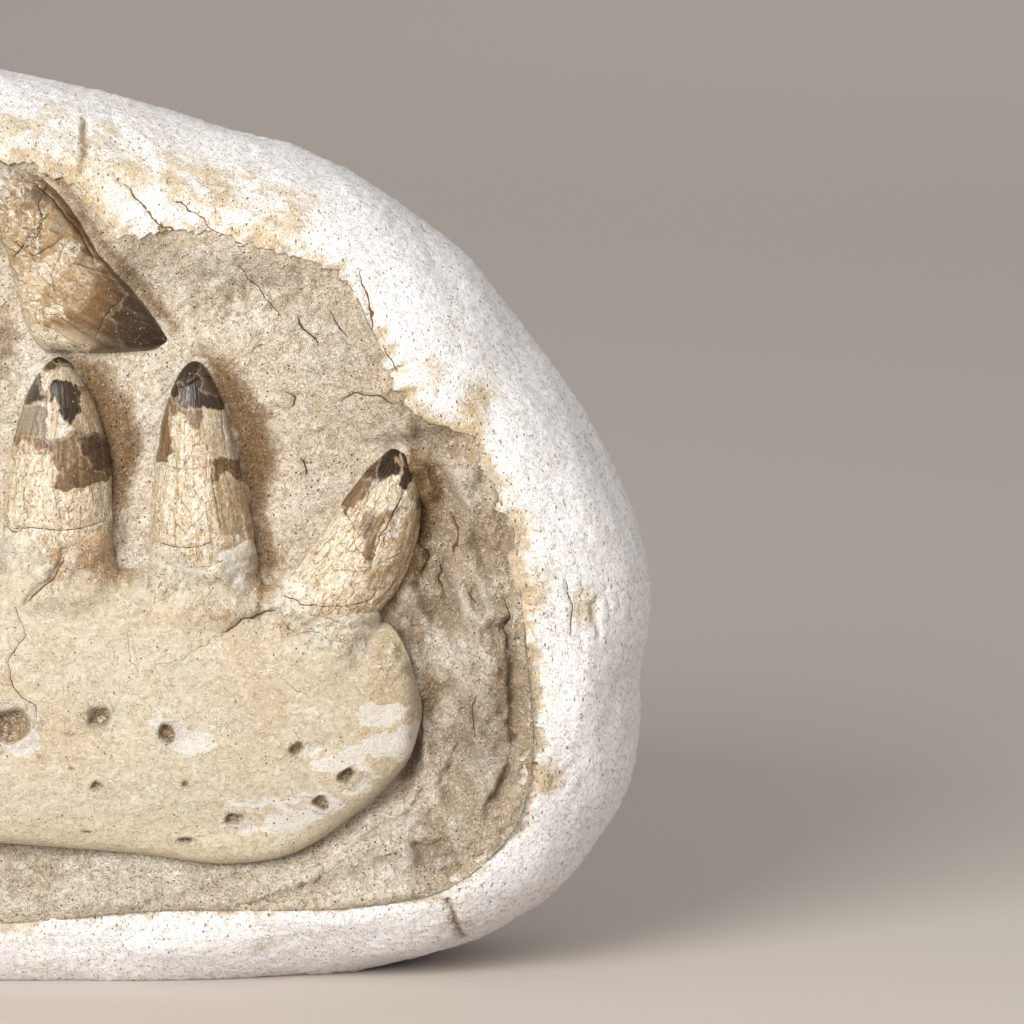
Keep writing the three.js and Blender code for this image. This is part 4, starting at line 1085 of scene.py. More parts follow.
# Lumps and hollows: x, z, half width, half height, rise
MATRIX_LUMPS = [
    (120, 108, 6, 12, 4), (133, 101, 6, 14, 3), (126, 88, 6, 8, -3), (140, 120, 6, 9, -1.6),
    (118, 131, 9, 6, 2.4), (136, 77, 5, 13, 2.6), (128, 60, 7, 12, -2.4), (126, 40, 14, 6, 2.8),
    (104, 30, 14, 5, 2), (95, 168, 16, 9, 2), (80, 176, 16, 6, -2.2), (92, 149, 10, 7, 1.6),
    (48, 138, 4, 14, 1.6), (83, 133, 6, 16, -2.4), (50, 24, 22, 4, 1.8), (20, 156, 6, 12, -2),
    (-26, 144, 8, 14, 2), (-62, 172, 26, 10, 3), (-105, 162, 18, 12, -2.4), (-136, 120, 8, 20, 2.6),
    (-138, 78, 7, 18, -2.2), (-90, 26, 24, 5, 2), (-30, 182, 14, 9, -2),
    (124.5, 101, 2.6, 3.4, 1.4), (118.6, 118, 3, 3.4, -2), (117, 88.4, 3, 2.2, -2.2),
    (124.6, 73, 2.6, 6, -1.8), (134.6, 60, 1.3, 1.8, -1.4), (142.6, 85.6, 2, 5, 1.6),
    (131, 116, 5, 4, 1.2), (138, 96, 2.6, 8, 1.1), (112.5, 96.5, 3, 4, -1.2), (130, 78, 3, 5, 1.2),
    (96, 142.4, 6, 4, -0.5), (86, 145.5, 3, 1.6, -0.9), (106.5, 147.4, 5, 3, 0.7), (66, 175, 7, 2.4, 0.8),
    (60, 168, 9, 2.4, -0.8), (97.8, 173, 4, 2.2, 0.9), (36, 150, 3, 8, 1), (56, 148, 3, 8, 0.9),
    (50, 124, 3, 8, -1.2), (88, 116, 4, 6, 1.5), (26, 22, 6, 3, 0.8), (117, 51, 5, 4, -1),
    (137, 47, 4, 5, 1.2), (74, 22.4, 4, 2, 1), (90, 24, 4, 2, -1),
]
# Scratches, cracks and undercut ledges: depth, half width, and the route as x, z points
MATRIX_CUTS = [
    (2.6, 1.1, [(143.2, 93), (144.6, 83), (144.9, 73), (145.2, 64), (144.6, 57), (142, 50), (138.2, 44)]),
    (1.8, 0.9, [(77, 21.4), (88, 24), (99.5, 28), (108, 31.4), (115, 33)]),
    (1.2, 0.7, [(92, 25.2), (104.5, 32.6), (112, 34.6)]),
    (1.4, 0.7, [(54, 22.6), (66, 25), (77, 27.6)]),
    (0.5, 0.3, [(76.9, 183.4), (81, 177.2), (88, 168.2)]),
    (0.8, 0.4, [(90.2, 170.2), (92.9, 167), (95.7, 164.9), (97, 162.4)]),
    (0.6, 0.3, [(98.2, 172.3), (100.6, 169.4), (104.3, 164.9)]),
    (0.9, 0.4, [(101.8, 148), (105.5, 150), (109.6, 150.4), (113.7, 149), (115.7, 148.4)]),
    (1.0, 0.5, [(88.4, 146), (91, 148.6), (87.6, 150.6)]),
    (0.6, 0.35, [(81, 161), (84, 162.6)]), (0.6, 0.35, [(83.8, 165.6), (81, 164)]),
    (0.9, 0.5, [(92, 134), (93.4, 129), (93.2, 127.6)]),
    (0.7, 0.6, [(123, 130), (128, 132), (134, 131.4)]),
    (0.9, 0.8, [(121, 129.4), (126, 127.8), (132, 123), (137, 114), (139.4, 104)]),
    (0.9, 0.4, [(127.7, 108.7), (127, 104), (128.5, 99)]), (0.9, 0.4, [(136, 103), (135, 99.5), (137, 96.6)]),
    (0.8, 0.4, [(142.6, 99), (143.6, 94), (143, 88.6)]), (0.9, 0.5, [(136, 74.6), (135, 69), (136.4, 63)]),
    (0.7, 0.35, [(121, 116), (124, 110), (123, 104)]), (0.7, 0.35, [(130, 121), (131.5, 114), (130, 109)]),
    (1.0, 0.9, [(133.6, 90), (136, 82), (134.6, 72), (135.6, 64)]),
    (1.2, 0.6, [(108, 37), (118, 43), (127, 52), (132, 61)]),
    (0.7, 0.4, [(38, 208), (45, 201), (53.6, 193.6), (58, 190.6)]),
    (1.0, 0.5, [(-70, 186), (-58, 178), (-52, 166), (-40, 160)]),
    (1.0, 0.5, [(-118, 150), (-106, 146), (-98, 136)]),
    (1.4, 0.8, [(-142, 96), (-144, 80), (-140, 62), (-130, 44)]),
    (1.2, 0.6, [(-96, 24), (-70, 27), (-44, 24)]), (0.8, 0.4, [(-20, 196), (-12, 176), (-2, 166)]),
]
# Loose crumbs on the surface: x, z, half width, half height, rise
CRUMBS = [
    (95.8, 141.6, 2.8, 1.3, 1.9), (86.2, 136, 0.9, 0.8, 1), (104.6, 146.2, 0.7, 0.7, 0.9),
    (69, 187.4, 1, 0.7, 0.8), (144.2, 118.6, 1.4, 1.3, 1.2), (128.4, 31.6, 2.2, 1.5, 1.4),
    (108.6, 41.4, 1.2, 2, 1), (118.4, 24.6, 1.6, 1.2, 1), (100, 35.8, 2.6, 1.8, 0.9),
    (21.4, 31, 1.6, 1.4, 1.2), (62, 29.4, 2.2, 1.1, 1), (-56, 29, 2, 1.4, 1.2), (-22, 159, 1.6, 1.4, 1.2),
    (-134, 101, 2, 1.5, 1.4), (-88, 184, 2.2, 1.5, 1.3),
]
# Ground that was left rough: x, z, half width, half height
ROUGH_PLACES = [(125, 98, 14, 26), (74, 182, 24, 8), (122, 34, 20, 9), (22, 28, 16, 8)]
# Brown earth and painted shade in hollows, in corners and beside the teeth: x, z, half width, half height,
# strength
EARTH_AND_SHADE_PATCHES = [
    (121.4, 130.6, 4.4, 2.6, 1), (118, 126, 3, 4, 0.7), (117.4, 89, 5, 4.4, 0.9), (124.6, 73, 3.6, 8, 1),
    (120.4, 117.6, 3.4, 4.6, 0.6), (128, 112, 8, 12, 0.2), (136, 74, 5, 16, 0.3), (126, 48, 12, 8, 0.2),
    (112, 95, 5, 5, 0.3), (83, 137, 4, 9, 0.5), (48.5, 140, 3.6, 9, 0.9), (18, 162, 4, 10, 0.9),
    (74, 173, 10, 5, 0.45), (91, 174, 8, 6, 0.35), (60, 178, 14, 5, 0.2), (22, 30, 10, 5, 0.3),
    (84, 109, 4, 6, 0.7), (-26, 126, 7, 14, 0.6), (-60, 130, 7, 14, 0.6), (-95, 132, 7, 14, 0.6),
    (144, 70, 3, 26, 0.4), (-100, 170, 22, 12, 0.4), (-138, 70, 9, 26, 0.4), (-60, 24, 30, 5, 0.3),
]
# Routes along the loose tooth's right side, where its shadow is painted, and along a ridge of pale dust
LOOSE_TOOTH_SHADOW = [(31, 206), (38, 196), (46, 185), (54, 175), (60.5, 166)]
PALE_RIDGE = [(116, 110), (124, 98), (131, 89), (138, 80)]
# The mesh: a net of columns and rows, closer on the side of the jaw's tip, and its height to its width
NET_COLUMNS, NET_ROWS = 404, 232
NET_CROWDING, NET_HEIGHT = 0.22, 0.66


def reach_of(outline):
    """The distance from CENTRE to a closed curve, as a function of direction. The curve passes
    through the points as a Catmull-Rom spline whose steps are the square roots of the spans, and
    the distance is its mean over 3 degrees, which rounds a notch off."""
    p1 = np.array(outline, float)
    p0, p2, p3 = (np.roll(p1, shift, 0) for shift in (1, -1, -2))
    d0, d1, d2 = (np.sqrt(np.linalg.norm(b - a, axis=1))[:, None]
                  for a, b in ((p0, p1), (p1, p2), (p2, p3)))
    m1 = ((p1 - p0) / d0 - (p2 - p0) / (d0 + d1) + (p2 - p1) / d1) * d1
    m2 = ((p2 - p1) / d1 - (p3 - p1) / (d1 + d2) + (p3 - p2) / d2) * d1
    t = np.linspace(0, 1, 40, endpoint=False)[:, None, None]
    curve = p1 + m1 * t + (3 * (p2 - p1) - 2 * m1 - m2) * t**2 + (2 * (p1 - p2) + m1 + m2) * t**3
    away = np.swapaxes(curve, 0, 1).reshape(-1, 2) - CENTRE
    turn = np.arctan2(away[:, 1], away[:, 0])
    order = np.argsort(turn)
    turns = np.linspace(-np.pi, np.pi, 1440, endpoint=False)
    reach = np.interp(turns, turn[order], np.hypot(*away.T)[order], period=2 * np.pi)
    reach = np.mean([np.roll(reach, shift) for shift in range(-6, 7)], 0)
    return lambda angle: np.interp(angle, turns, reach, period=2 * np.pi)


jacket_reach = reach_of(JACKET_OUTLINE)
matrix_reach = reach_of(MATRIX_OUTLINE)


def rim_front(angle, inward):
    """The plaster's front surface as Y, at a distance in from its outline: the front depth, which
    swells by two sine waves, times the quarter circle of the rolled edge."""
    depth = JACKET_FRONT * (1 + 0.018 * np.sin(3 * angle + 1) + 0.012 * np.sin(5 * angle))
    across = 1 - np.clip(inward / ROLL, 0, 1)
    return -depth * np.sqrt(1 - across**2)


def matrix_field(x, z):
    """The matrix's front surface as Y: just below the plaster at the rim, easing down to the field
    over RISE_WIDTH, with a bell curve for each lump and for the trench under the jaw."""
    angle = np.arctan2(z - CENTRE[1], x - CENTRE[0])
    reach = matrix_reach(angle)
    in_from_rim = reach - np.hypot(x - CENTRE[0], z - CENTRE[1])
    rim_y = rim_front(angle, jacket_reach(angle) - reach) + RIM_STEP
    y = rim_y + (MATRIX_FIELD_Y - rim_y) * smooth(0, RISE_WIDTH, in_from_rim) - blobs(x, z, MATRIX_LUMPS)
    first_x, last_x = JAW_SECTIONS[0, 0], JAW_SECTIONS[-1, 0]
    lower_edge = spline(np.clip(x, first_x, last_x), JAW_SECTIONS)[0]
    trench = np.exp(-(((z - lower_edge) / TRENCH_WIDTH) ** 2)) * ((x > first_x) & (x < last_x))
    return y + TRENCH_DEPTH * trench


def chips(x, z, size, seed, share):
    """Angular crumbs: each lattice cell holds one flat-topped stone in a random place, of a random
    size, and only that share of the cells has one. The value is its height from 0 to 1."""
    best = 0
    for step_x, step_z in np.ndindex(3, 3):
        cell_x, cell_z = np.floor(x / size) + step_x - 1, np.floor(z / size) + step_z - 1
        dice = [0.5 + 0.5 * noise(cell_x + 0.5, k, cell_z + 0.5, 0.37, seed + k) for k in range(4)]
        away = np.hypot(x / size - cell_x - dice[0], (z / size - cell_z - dice[1]) * (1 + dice[2]))
        stone = smooth(0.16 + 0.3 * dice[3], 0.1 + 0.2 * dice[3], away)
        best = np.maximum(best, stone * (dice[2] < 0.5 * share + 0.25))
    return best


def in_from_edges(x, z, sections):
    """How far a place is in from the edges of a piece in the front view, which is given by its
    sections: the least of its distances from both ends and from the lower and upper edge."""
    first_x, last_x = sections[0, 0], sections[-1, 0]
    low, high = spline(np.clip(x, first_x, last_x), sections)[:2]
    return np.minimum.reduce([z - low, high - z, x - first_x, last_x - x])


def earth_and_shadow_beside(x, z, tooth):
    """Brown earth and a painted shadow on a tooth's right: a strip along the edge
    of an ellipse on the tooth's axis, wider up the tooth and strongest close to it, where the painted shadow
    is deepest."""
    (bx, bz), (tx, tz), radius, _ = tooth
    across, along = tooth_place(x, z, tooth)
    t = along / math.hypot(tx - bx, tz - bz)
    past_edge = across - radius * np.sqrt(1 - np.clip(t, 0, 1) ** 2) + 0.7 * noise(x, 0, z, 4, 170, 2)
    width = 6 + 3.5 * smooth(0.1, 0.45, t)
    strip = smooth(-3, 0, past_edge) * smooth(width, 0.42 * width, past_edge)
    # Painted shadow: the strip is made stronger next to the tooth, where its shadow falls.
    strip = strip * (0.95 + 0.7 * smooth(4.5, 1, past_edge))
    return strip * (0.3 + 0.7 * smooth(-0.1, 0.45, t)) * smooth(-0.3, 0, t) * smooth(1.12, 0.85, t)


# The front is a square net drawn out to the slab's outline.
run = np.linspace(-1, 1, NET_COLUMNS)
u = (run + NET_CROWDING * (1 - run**2))[None, :]
v = np.linspace(-1, 1, NET_ROWS)[:, None]
angle = np.arctan2(NET_HEIGHT * v + 0 * u, u + 0 * v)
reach = np.maximum(np.abs(u), np.abs(v)) * (matrix_reach(angle) + RIM_OVERLAP)
x, z = CENTRE[0] + reach * np.cos(angle), CENTRE[1] + reach * np.sin(angle)
y = matrix_field(x, z)

# Relief towards the front: soft heaps, sand, chips of stone, scrapes of the tool and crumbs.
in_from_rim = matrix_reach(angle) - reach
ragged = smooth(26, 6, in_from_rim) * 0.6 + 0.4 * smooth(0, 0.8, noise(x, 0, z, 34, 131, 2))
ragged = np.maximum.reduce([ragged] + [blob(x, z, place) for place in ROUGH_PLACES])
right_of_jaw = smooth(110, 121, x) * smooth(162, 144, z) * smooth(22, 34, z)
folds = noise(1.3 * x + 0.3 * z, 0, 0.6 * z, 8.5, 167, 2)
folds = folds - 0.8 * np.abs(noise(1.2 * x + 0.4 * z, 0, 0.7 * z, 7, 169, 2))
folded = 2.3 * folds + 0.7 * noise(x, 0, z, 3, 173, 2) - 0.9 * np.abs(noise(x, 0, 0.7 * z, 4.2, 175, 2))
heaps = 0.7 * noise(x, 0, z, 24, 133, 2) + ragged * 0.8 * noise(x, 0, z, 9, 135, 2) + right_of_jaw * folded
facet = np.abs(noise(x, 0, z, 6, 137, 2)) * (0.15 + 0.7 * ragged)
sand = 0.22 * noise(x, 0, z, 2.6, 139, 2) * (0.6 + ragged) + 0.12 * noise(x, 0, z, 0.9, 141)
stones = 0.4 * chips(x, z, 5.5, 143, 0.35) * (0.25 + ragged) + 0.25 * chips(x + 50, z, 2.4, 149, 0.5)
scrapes = noise((x + z) / 16, 0, (z - x) / 1.2, 1, 155, 2)
relief = heaps + facet + sand + stones + 0.12 * scrapes * (1 - ragged)
jag_x = x + 0.8 * noise(x, 0, z, 3.4, 157, 2)
jag_z = z + 0.8 * noise(x, 0, z, 3.4, 159, 2)
cut = np.zeros_like(x)
for cut_depth, line in grooves(jag_x, jag_z, MATRIX_CUTS, 0.5):
    relief -= cut_depth * line
    cut = np.maximum(cut, line * smooth(0.4, 1.8, cut_depth))
crumb = np.zeros_like(x)
for px, pz, half_x, half_z, rise in CRUMBS:
    away_from = np.hypot((jag_x - px) / half_x, (jag_z - pz) / half_z)
    crumb = np.maximum(crumb, smooth(1.15, 0.8, away_from))
    relief += rise * smooth(1.25, 0.55, away_from) * (1 + 0.4 * noise(x, 0, z, 1.4, 161))
y = y - relief * smooth(-0.3, 2.5, in_from_rim) + 0.5 * smooth(2.5, -0.3, in_from_rim)

# Beds for the jaw and the loose tooth, a little inside their edges, so that they stand in them.
in_fossil = np.maximum(in_from_edges(x, z, JAW_SECTIONS), in_from_edges(x, z, LOOSE_SECTIONS))
y = np.maximum(y, y + (BED_FLOOR_Y - y) * smooth(*BED_WALL, in_fossil))

# Dust, earth and painted shade: brown earth and a painted shadow beside the fossil, painted shade in the
# hollows and in the troughs of the folds right of the jaw, painted light on their crests, and pale dust on
# the rises.
earth_and_shade = np.maximum.reduce([earth_and_shadow_beside(x, z, tooth) for tooth in TEETH]) + blobs(x, z, EARTH_AND_SHADE_PATCHES)
# A painted shadow along the loose tooth's right side.
earth_and_shade += 0.9 * smooth(3.4, 0, path_distance(x, z, LOOSE_TOOTH_SHADOW))
# Painted shade in the low places of the relief.
low_lying_shade = smooth(0.2, -1.0, heaps + facet + sand * 2 - 0.2)
mood = 0.5 + 0.5 * noise(x, 0, z, 20, 163, 3)
speckle = noise(x, 0, z, 2.0, 165, 3)
# How strongly the brown earth and the painted shade darken the ground.
earth_and_shade_strength = 0.75 * smooth(0, 1.1, earth_and_shade + 0.2 * speckle) + 0.3 * smooth(0.9, 1.6, earth_and_shade)
# Painted shade in the troughs of the folds right of the jaw.
earth_and_shade_strength = earth_and_shade_strength + 0.12 * right_of_jaw * smooth(0.3, -0.7, folds)
net_marks = {
    "paint": paint("#D3C8B7", [
        (smooth(0.3, 0.7, mood) * 0.5, "#C7B9A1"),
        (smooth(0.6, 0.2, mood) * 0.35, "#DBD4C7"),
        (smooth(0.0, 0.9, speckle) * 0.3, "#B2A085"),
        (smooth(0.0, -0.9, speckle) * 0.35, "#E0D9CE"),
        (low_lying_shade * 0.5, "#A18D6F"),
        # Right of the jaw the ground is painted darker, partly as shade between its clods, with painted shade
        # in the troughs of its folds and painted light on their crests.
        (right_of_jaw * 0.5, "#958269"),
        (right_of_jaw * smooth(0.1, -0.7, folds) * 0.6, "#8A755A"),
        (right_of_jaw * smooth(0.0, 0.5, folds) * 0.5, "#D6CDBF"),
        (smooth(8, 1, path_distance(x, z, PALE_RIDGE)) * smooth(-0.5, 0.3, folds) * 0.35, "#E2DBD0"),
        (blob(x, z, (134, 60, 9, 14)) * 0.7, "#877561"),
        (smooth(0.15, 1.1, earth_and_shade + 0.35 * speckle) * 0.65, "#6D553A"),
        (smooth(9, 2, in_from_rim) * 0.35, "#B9A380"),
        (cut * 0.45, "#7C6347"),
        (crumb * 0.8, "#DDD5C6"),
    ]),
    "earth_and_shade": np.clip(earth_and_shade_strength, 0, 1),
    "ragged": ragged,
    **crack_lines(jag_x, jag_z, MATRIX_CUTS, 1),
}

# The slab's wall and back, hidden in the jacket, close the front's border on one back vertex.
row, column = np.arange(NET_ROWS), np.arange(NET_COLUMNS)
border = np.concatenate([
    column[:-1], row[:-1] * NET_COLUMNS + NET_COLUMNS - 1,
    (NET_ROWS - 1) * NET_COLUMNS + column[:0:-1], row[:0:-1] * NET_COLUMNS,
])
net = np.stack([x, y, z], -1).reshape(-1, 3)
wall = net[border] * (1, 0, 1) + (0, MATRIX_BACK_Y, 0)
slab = np.concatenate([net, wall, [(CENTRE[0], MATRIX_BACK_Y, CENTRE[1])]])
i, j = np.meshgrid(row[:-1], column[:-1], indexing="ij")
corner = i * NET_COLUMNS + j
quads = np.stack([corner, corner + 1, corner + NET_COLUMNS + 1, corner + NET_COLUMNS], -1).reshape(-1, 4)
foot = len(net) + np.arange(len(border))
wall_quads = np.stack([np.roll(border, -1), border, foot, np.roll(foot, -1)], -1)
fans = np.stack([foot, np.roll(foot, -1), np.full(len(foot), len(slab) - 1)], -1)[:, ::-1]
hidden = np.concatenate([border, border[:1]])
marks = {}
for mark, values in net_marks.items():
    flat = values.reshape(len(net), -1)
    marks[mark] = np.concatenate([flat, flat[hidden]])

# Sandy limestone: soft, porous and quite matt. Its grains are drawn about half a millimetre wide,
# coarser than they are, so that they show.
GRIT, MATRIX_CURL, CLOD, STROKE = 0.6, 1.7, 4.5, 1.6  # waves of its patterns
SAND_PIT_SPACING, SAND_PIT_EDGE = 1.4, (0.2, 0.11)
sandstone, tree = new_material("sandy limestone")
coords = add(tree, "TexCoord").outputs["Object"]
painted = add(tree, "Attribute", attribute_name="paint").outputs["Color"]
broken_ground = add(tree, "Attribute", attribute_name="ragged").outputs["Fac"]
stain_and_shade = add(tree, "Attribute", attribute_name="earth_and_shade").outputs["Fac"]
grit = add(tree, "TexNoise", {"Vector": coords, "Scale": 1 / (GRIT * MM), "Detail": 3.0, "Roughness": 0.7,
                              "Distortion": 0.8}).outputs["Fac"]
curl = add(tree, "TexNoise", {"Vector": coords, "Scale": 1 / (MATRIX_CURL * MM), "Detail": 4.0,
                              "Roughness": 0.65, "Distortion": 2.2}).outputs["Fac"]
clod = add(tree, "TexNoise", {"Vector": coords, "Scale": 1 / (CLOD * MM), "Detail": 4.0, "Roughness": 0.6,
                              "Distortion": 0.5}).outputs["Fac"]
odds = add(tree, "Math", {0: clod, 1: 1.5}, operation="MULTIPLY").outputs[0]
pit = dots(tree, coords, SAND_PIT_SPACING, SAND_PIT_EDGE, odds, (1.4, 1.48))
line = crack_mask(tree, grit)
ridge, furrow = curls(tree, coords, STROKE, 0.06, 1.0)
# Painted highlight on the curls' ridges and painted shade in their furrows.
ridge_highlight = add(tree, "Math", {0: ridge, 1: 0.6}, operation="MULTIPLY").outputs[0]
furrow_shade = add(tree, "Math", {0: furrow, 1: 0.6}, operation="MULTIPLY").outputs[0]
colour = lay_tones(tree, painted, [
    (clod, 0.52, 0.68, 0.35, "#A69274"),
    (curl, 0.47, 0.32, 0.5, "#E2DACE"),
    (curl, 0.51, 0.66, 0.5, "#9B815C"),
    (grit, 0.47, 0.3, 0.6, "#E7E1D9"),
    (grit, 0.52, 0.7, 0.7, "#866B46"),
], [(ridge_highlight, "#E3DDD5"), (furrow_shade, "#8F744D"), (pit, "#4A3926"), (line, "#6E573A")])
# Brown earth and painted shade beside the fossil and in hollows darken the colour further.
colour = add(tree, "Mix", {0: stain_and_shade, 6: colour, 7: "#BDA98E"}, data_type="RGBA",
             blend_type="MULTIPLY").outputs[2]
ground = add(tree, "MapRange", {"Value": broken_ground, "To Min": 0.9, "To Max": 1.5}).outputs[0]
height = stack_heights(tree, 0, [(clod, -1.4), (ridge, 0.4), (furrow, -0.25), (curl, -1.1), (grit, -0.9)])
height = add(tree, "Math", {0: height, 1: ground}, operation="MULTIPLY").outputs[0]
height = stack_heights(tree, height, [(pit, -1.0), (line, -1.2)])
bump = add(tree, "Bump", {"Height": height, "Strength": 0.9, "Distance": 0.6 * MM}).outputs["Normal"]
surface = add(tree, "BsdfPrincipled", {"Base Color": colour, "Roughness": 0.95, "Normal": bump,
                                       "Specular IOR Level": 0.2})
add(tree, "OutputMaterial", {"Surface": surface.outputs["BSDF"]})

make_piece("matrix_slab", slab, np.concatenate([quads, wall_quads]), fans, marks, sandstone, "matrix")

# ---------------------------------------------------------------------------------------------
# Plaster jacket: gypsum plaster laid on wet by hand round the slab and smoothed with a trowel. It
# is a thick loaf with a rolled edge and a flat foot. Its front rim feathers out over the matrix.

JACKET_BACK = 48.2
BACK_DOME = 0.07
RECESS_FLOOR_Y = 18
RECESS_GAP = 0.5
LIP_THICKNESS = 1.2
LIP_LIFT = 0.15
FEATHER_WIDTH = 7
# The mesh: points round the outline, and rings in the recess, over the front, where they crowd
# towards the edge, round the edge and over the back
JACKET_COLUMNS = 900
RECESS_SHARES = (0.35, 0.7, 1)
FRONT_RINGS, EDGE_RINGS, BACK_RINGS = 76, 17, 11
FRONT_CROWDING = 1.6
# Sand rubbed into the plaster, as ovals: x, z, half width, half height, strength
PLASTER_STAINS = [
    (20, 214, 20, 8, 0.7), (46, 208, 16, 10, 0.65), (70, 200, 16, 7, 0.9), (38, 199, 8, 8, 0.6),
    (86, 192, 12, 6, 0.8), (150, 98, 7, 13, 1.1), (163, 97, 4, 7, 0.6), (152, 53, 7, 5, 1.2),
    (124, 158, 5, 9, 0.5), (138, 150, 3, 6, 0.4), (134, 146, 6, 7, 1.2), (131, 17, 4, 7, 0.6),
    (83, 12, 5, 6, 0.4), (35, 6, 10, 2, 0.3), (148, 118, 4, 6, 0.4), (-70, 219, 30, 6, 0.7),
    (-152, 150, 8, 20, 0.6), (-160, 80, 6, 20, 0.5), (-110, 14, 22, 6, 0.6),
]
# Cracks and scratches in it: depth, half width, and the route as x, z points
PLASTER_CUTS = [
    (1.8, 0.7, [(37.5, 217), (38.2, 212), (36.8, 206)]),
    (0.8, 0.3, [(46.9, 202.6), (51.5, 198.6), (54.4, 195), (57.8, 192.1), (60.7, 189.8), (64.2, 188.7),
                (66.9, 189.8)]),
    (0.6, 0.25, [(59.5, 199.7), (63, 196.8), (66.9, 193.9), (72, 189.6), (78, 187)]),
    (0.4, 0.2, [(47.5, 192.4), (51.5, 194.5), (53.8, 195.6)]), (0.4, 0.2, [(55.5, 188.7), (57.8, 191)]),
    (0.7, 0.3, [(105.5, 180.5), (108, 174.4), (109.4, 169), (109.2, 163.2), (108.4, 159.5)]),
    (0.6, 0.28, [(110.8, 164), (112.9, 161.2), (115.5, 157), (115.3, 155.8)]),
    (1.8, 0.7, [(128.2, 22), (131, 14), (132, 10)]), (0.7, 0.22, [(158, 104), (159.5, 96), (159, 88)]),
    (1.0, 0.6, [(164.5, 97), (165.2, 88)]), (0.3, 0.14, [(148, 92), (152, 86), (156, 83)]),
    (0.3, 0.14, [(167.6, 100), (168.2, 91)]), (0.3, 0.14, [(170.6, 99), (171, 93)]),
    (0.3, 0.14, [(160.8, 106), (162, 95), (161.4, 84)]), (0.3, 0.14, [(173.6, 100), (174.4, 90)]),
    (0.3, 0.14, [(120, 189), (124, 186)]),
    (0.9, 0.4, [(-96, 214), (-104, 203), (-101, 195)]), (0.9, 0.5, [(-160, 110), (-166, 104), (-166, 94)]),
    (0.8, 0.4, [(-34, 226), (-30, 216)]), (1.0, 0.5, [(-140, 28), (-146, 20), (-144, 12)]),
]
# Knobs and dents that the hand left: x, z, half width, half height, rise
PLASTER_KNOBS = [
    (176, 74, 8, 5, -1.6), (172, 92, 9, 12, 1.0), (147, 158, 9, 9, -1.6), (118, 8, 12, 5, 1.0),
    (90, 9, 14, 6, -0.8), (150, 28, 9, 9, 0.8), (60, 10, 18, 5, 0.7), (104, 196, 16, 5, 0.8),
    (155, 128, 8, 14, -0.7), (163, 70, 6, 8, 0.9), (146, 100, 4, 8, 0.9), (154, 56, 5, 4, -0.6),
    (100, 17, 10, 3, 0.8), (30, 10, 14, 4, -0.6),
]
# Clean white chips and islands of plaster at its lip, as outlines in the front view
WHITE_CHIPS = [
    [(49.2, 193.4), (53.4, 194.6), (57, 191.4), (55, 189.2), (51, 190.4)],
    [(58.4, 193.3), (61.6, 192.6), (65.9, 190), (64, 189.2), (60, 190.6)],
    [(74.5, 187.6), (78, 188), (81.4, 185), (79.6, 183), (75.2, 184.4)],
    [(82.3, 184.6), (85, 185.1), (86.7, 182.6), (84, 181.4)],
    [(88.8, 184.4), (92, 185.5), (94.9, 182.2), (92.4, 179.7), (89.4, 181.4)],
    [(105, 176.6), (106.6, 179), (107.6, 176), (106.2, 174)],
    [(106, 170.6), (107.6, 174), (109, 171), (107.6, 168)],
    [(110, 162), (111.6, 163.6), (112.5, 161.4), (111, 160)],
    [(112, 158), (114, 160), (115.7, 157.4), (113.6, 155.8)],
]

outline_angle = np.linspace(-np.pi, np.pi, 3600, endpoint=False)
outline_reach = jacket_reach(outline_angle)
outline_length = np.cumsum(np.hypot(outline_reach, np.gradient(outline_reach, outline_angle)))
crowding = 1 + 0.9 * smooth(-60, 10, outline_reach * np.cos(outline_angle))
outline_share = np.cumsum(crowding * np.gradient(outline_length))
even_shares = np.linspace(0, outline_share[-1], JACKET_COLUMNS, endpoint=False)
angle = np.interp(even_shares, outline_share, outline_angle)
edge, rim = jacket_reach(angle), matrix_reach(angle)
rim_x, rim_z = rim * np.cos(angle), rim * np.sin(angle)
lip = rim - RIM_OVERLAP - 2.2 * np.abs(noise(rim_x, 0, rim_z, 10, 171, 2))
lip = lip - 2.0 * np.abs(noise(rim_x, 0, rim_z, 2.8, 173, 3))

# Rings from the recess's floor up its wall, out over the lip and the rim, and round to the back,
# each as a reach from CENTRE and a depth.
recess, lip_back = rim + RECESS_GAP, rim_front(angle, edge - rim) + RIM_STEP + LIP_THICKNESS
rings = [(share * recess, RECESS_FLOOR_Y + 0 * rim) for share in RECESS_SHARES]
rings += [(recess, RECESS_FLOOR_Y + (lip_back - RECESS_FLOOR_Y) * share) for share in RECESS_SHARES]
first_front = len(rings)
for t in np.linspace(0, 1, FRONT_RINGS):
    inward = (edge - lip) * (1 - t) ** FRONT_CROWDING
    feather = RIM_STEP * (1 - smooth(0, FEATHER_WIDTH, edge - inward - lip))
    rings.append((edge - inward, rim_front(angle, inward) + feather - LIP_LIFT))
rings += [(edge - ROLL * (1 - math.cos(turn)), JACKET_BACK * (1 - BACK_DOME) * math.sin(turn) + 0 * edge)
          for turn in np.linspace(0.05, 0.5 * math.pi, EDGE_RINGS)]
rings += [((edge - ROLL) * share, JACKET_BACK * (1 - BACK_DOME * share**2) + 0 * edge)
          for share in np.linspace(0.94, 0.05, BACK_RINGS)]
reach, depth = np.array([ring[0] for ring in rings]), np.array([ring[1] for ring in rings])
x, z = CENTRE[0] + reach * np.cos(angle), CENTRE[1] + reach * np.sin(angle)
skin = np.stack([x, depth, z], -1)
outside = np.zeros_like(x)
outside[first_front:] = 1
on_front = smooth(8, -12, depth) * outside
from_lip = np.clip(reach - lip, 0, None)

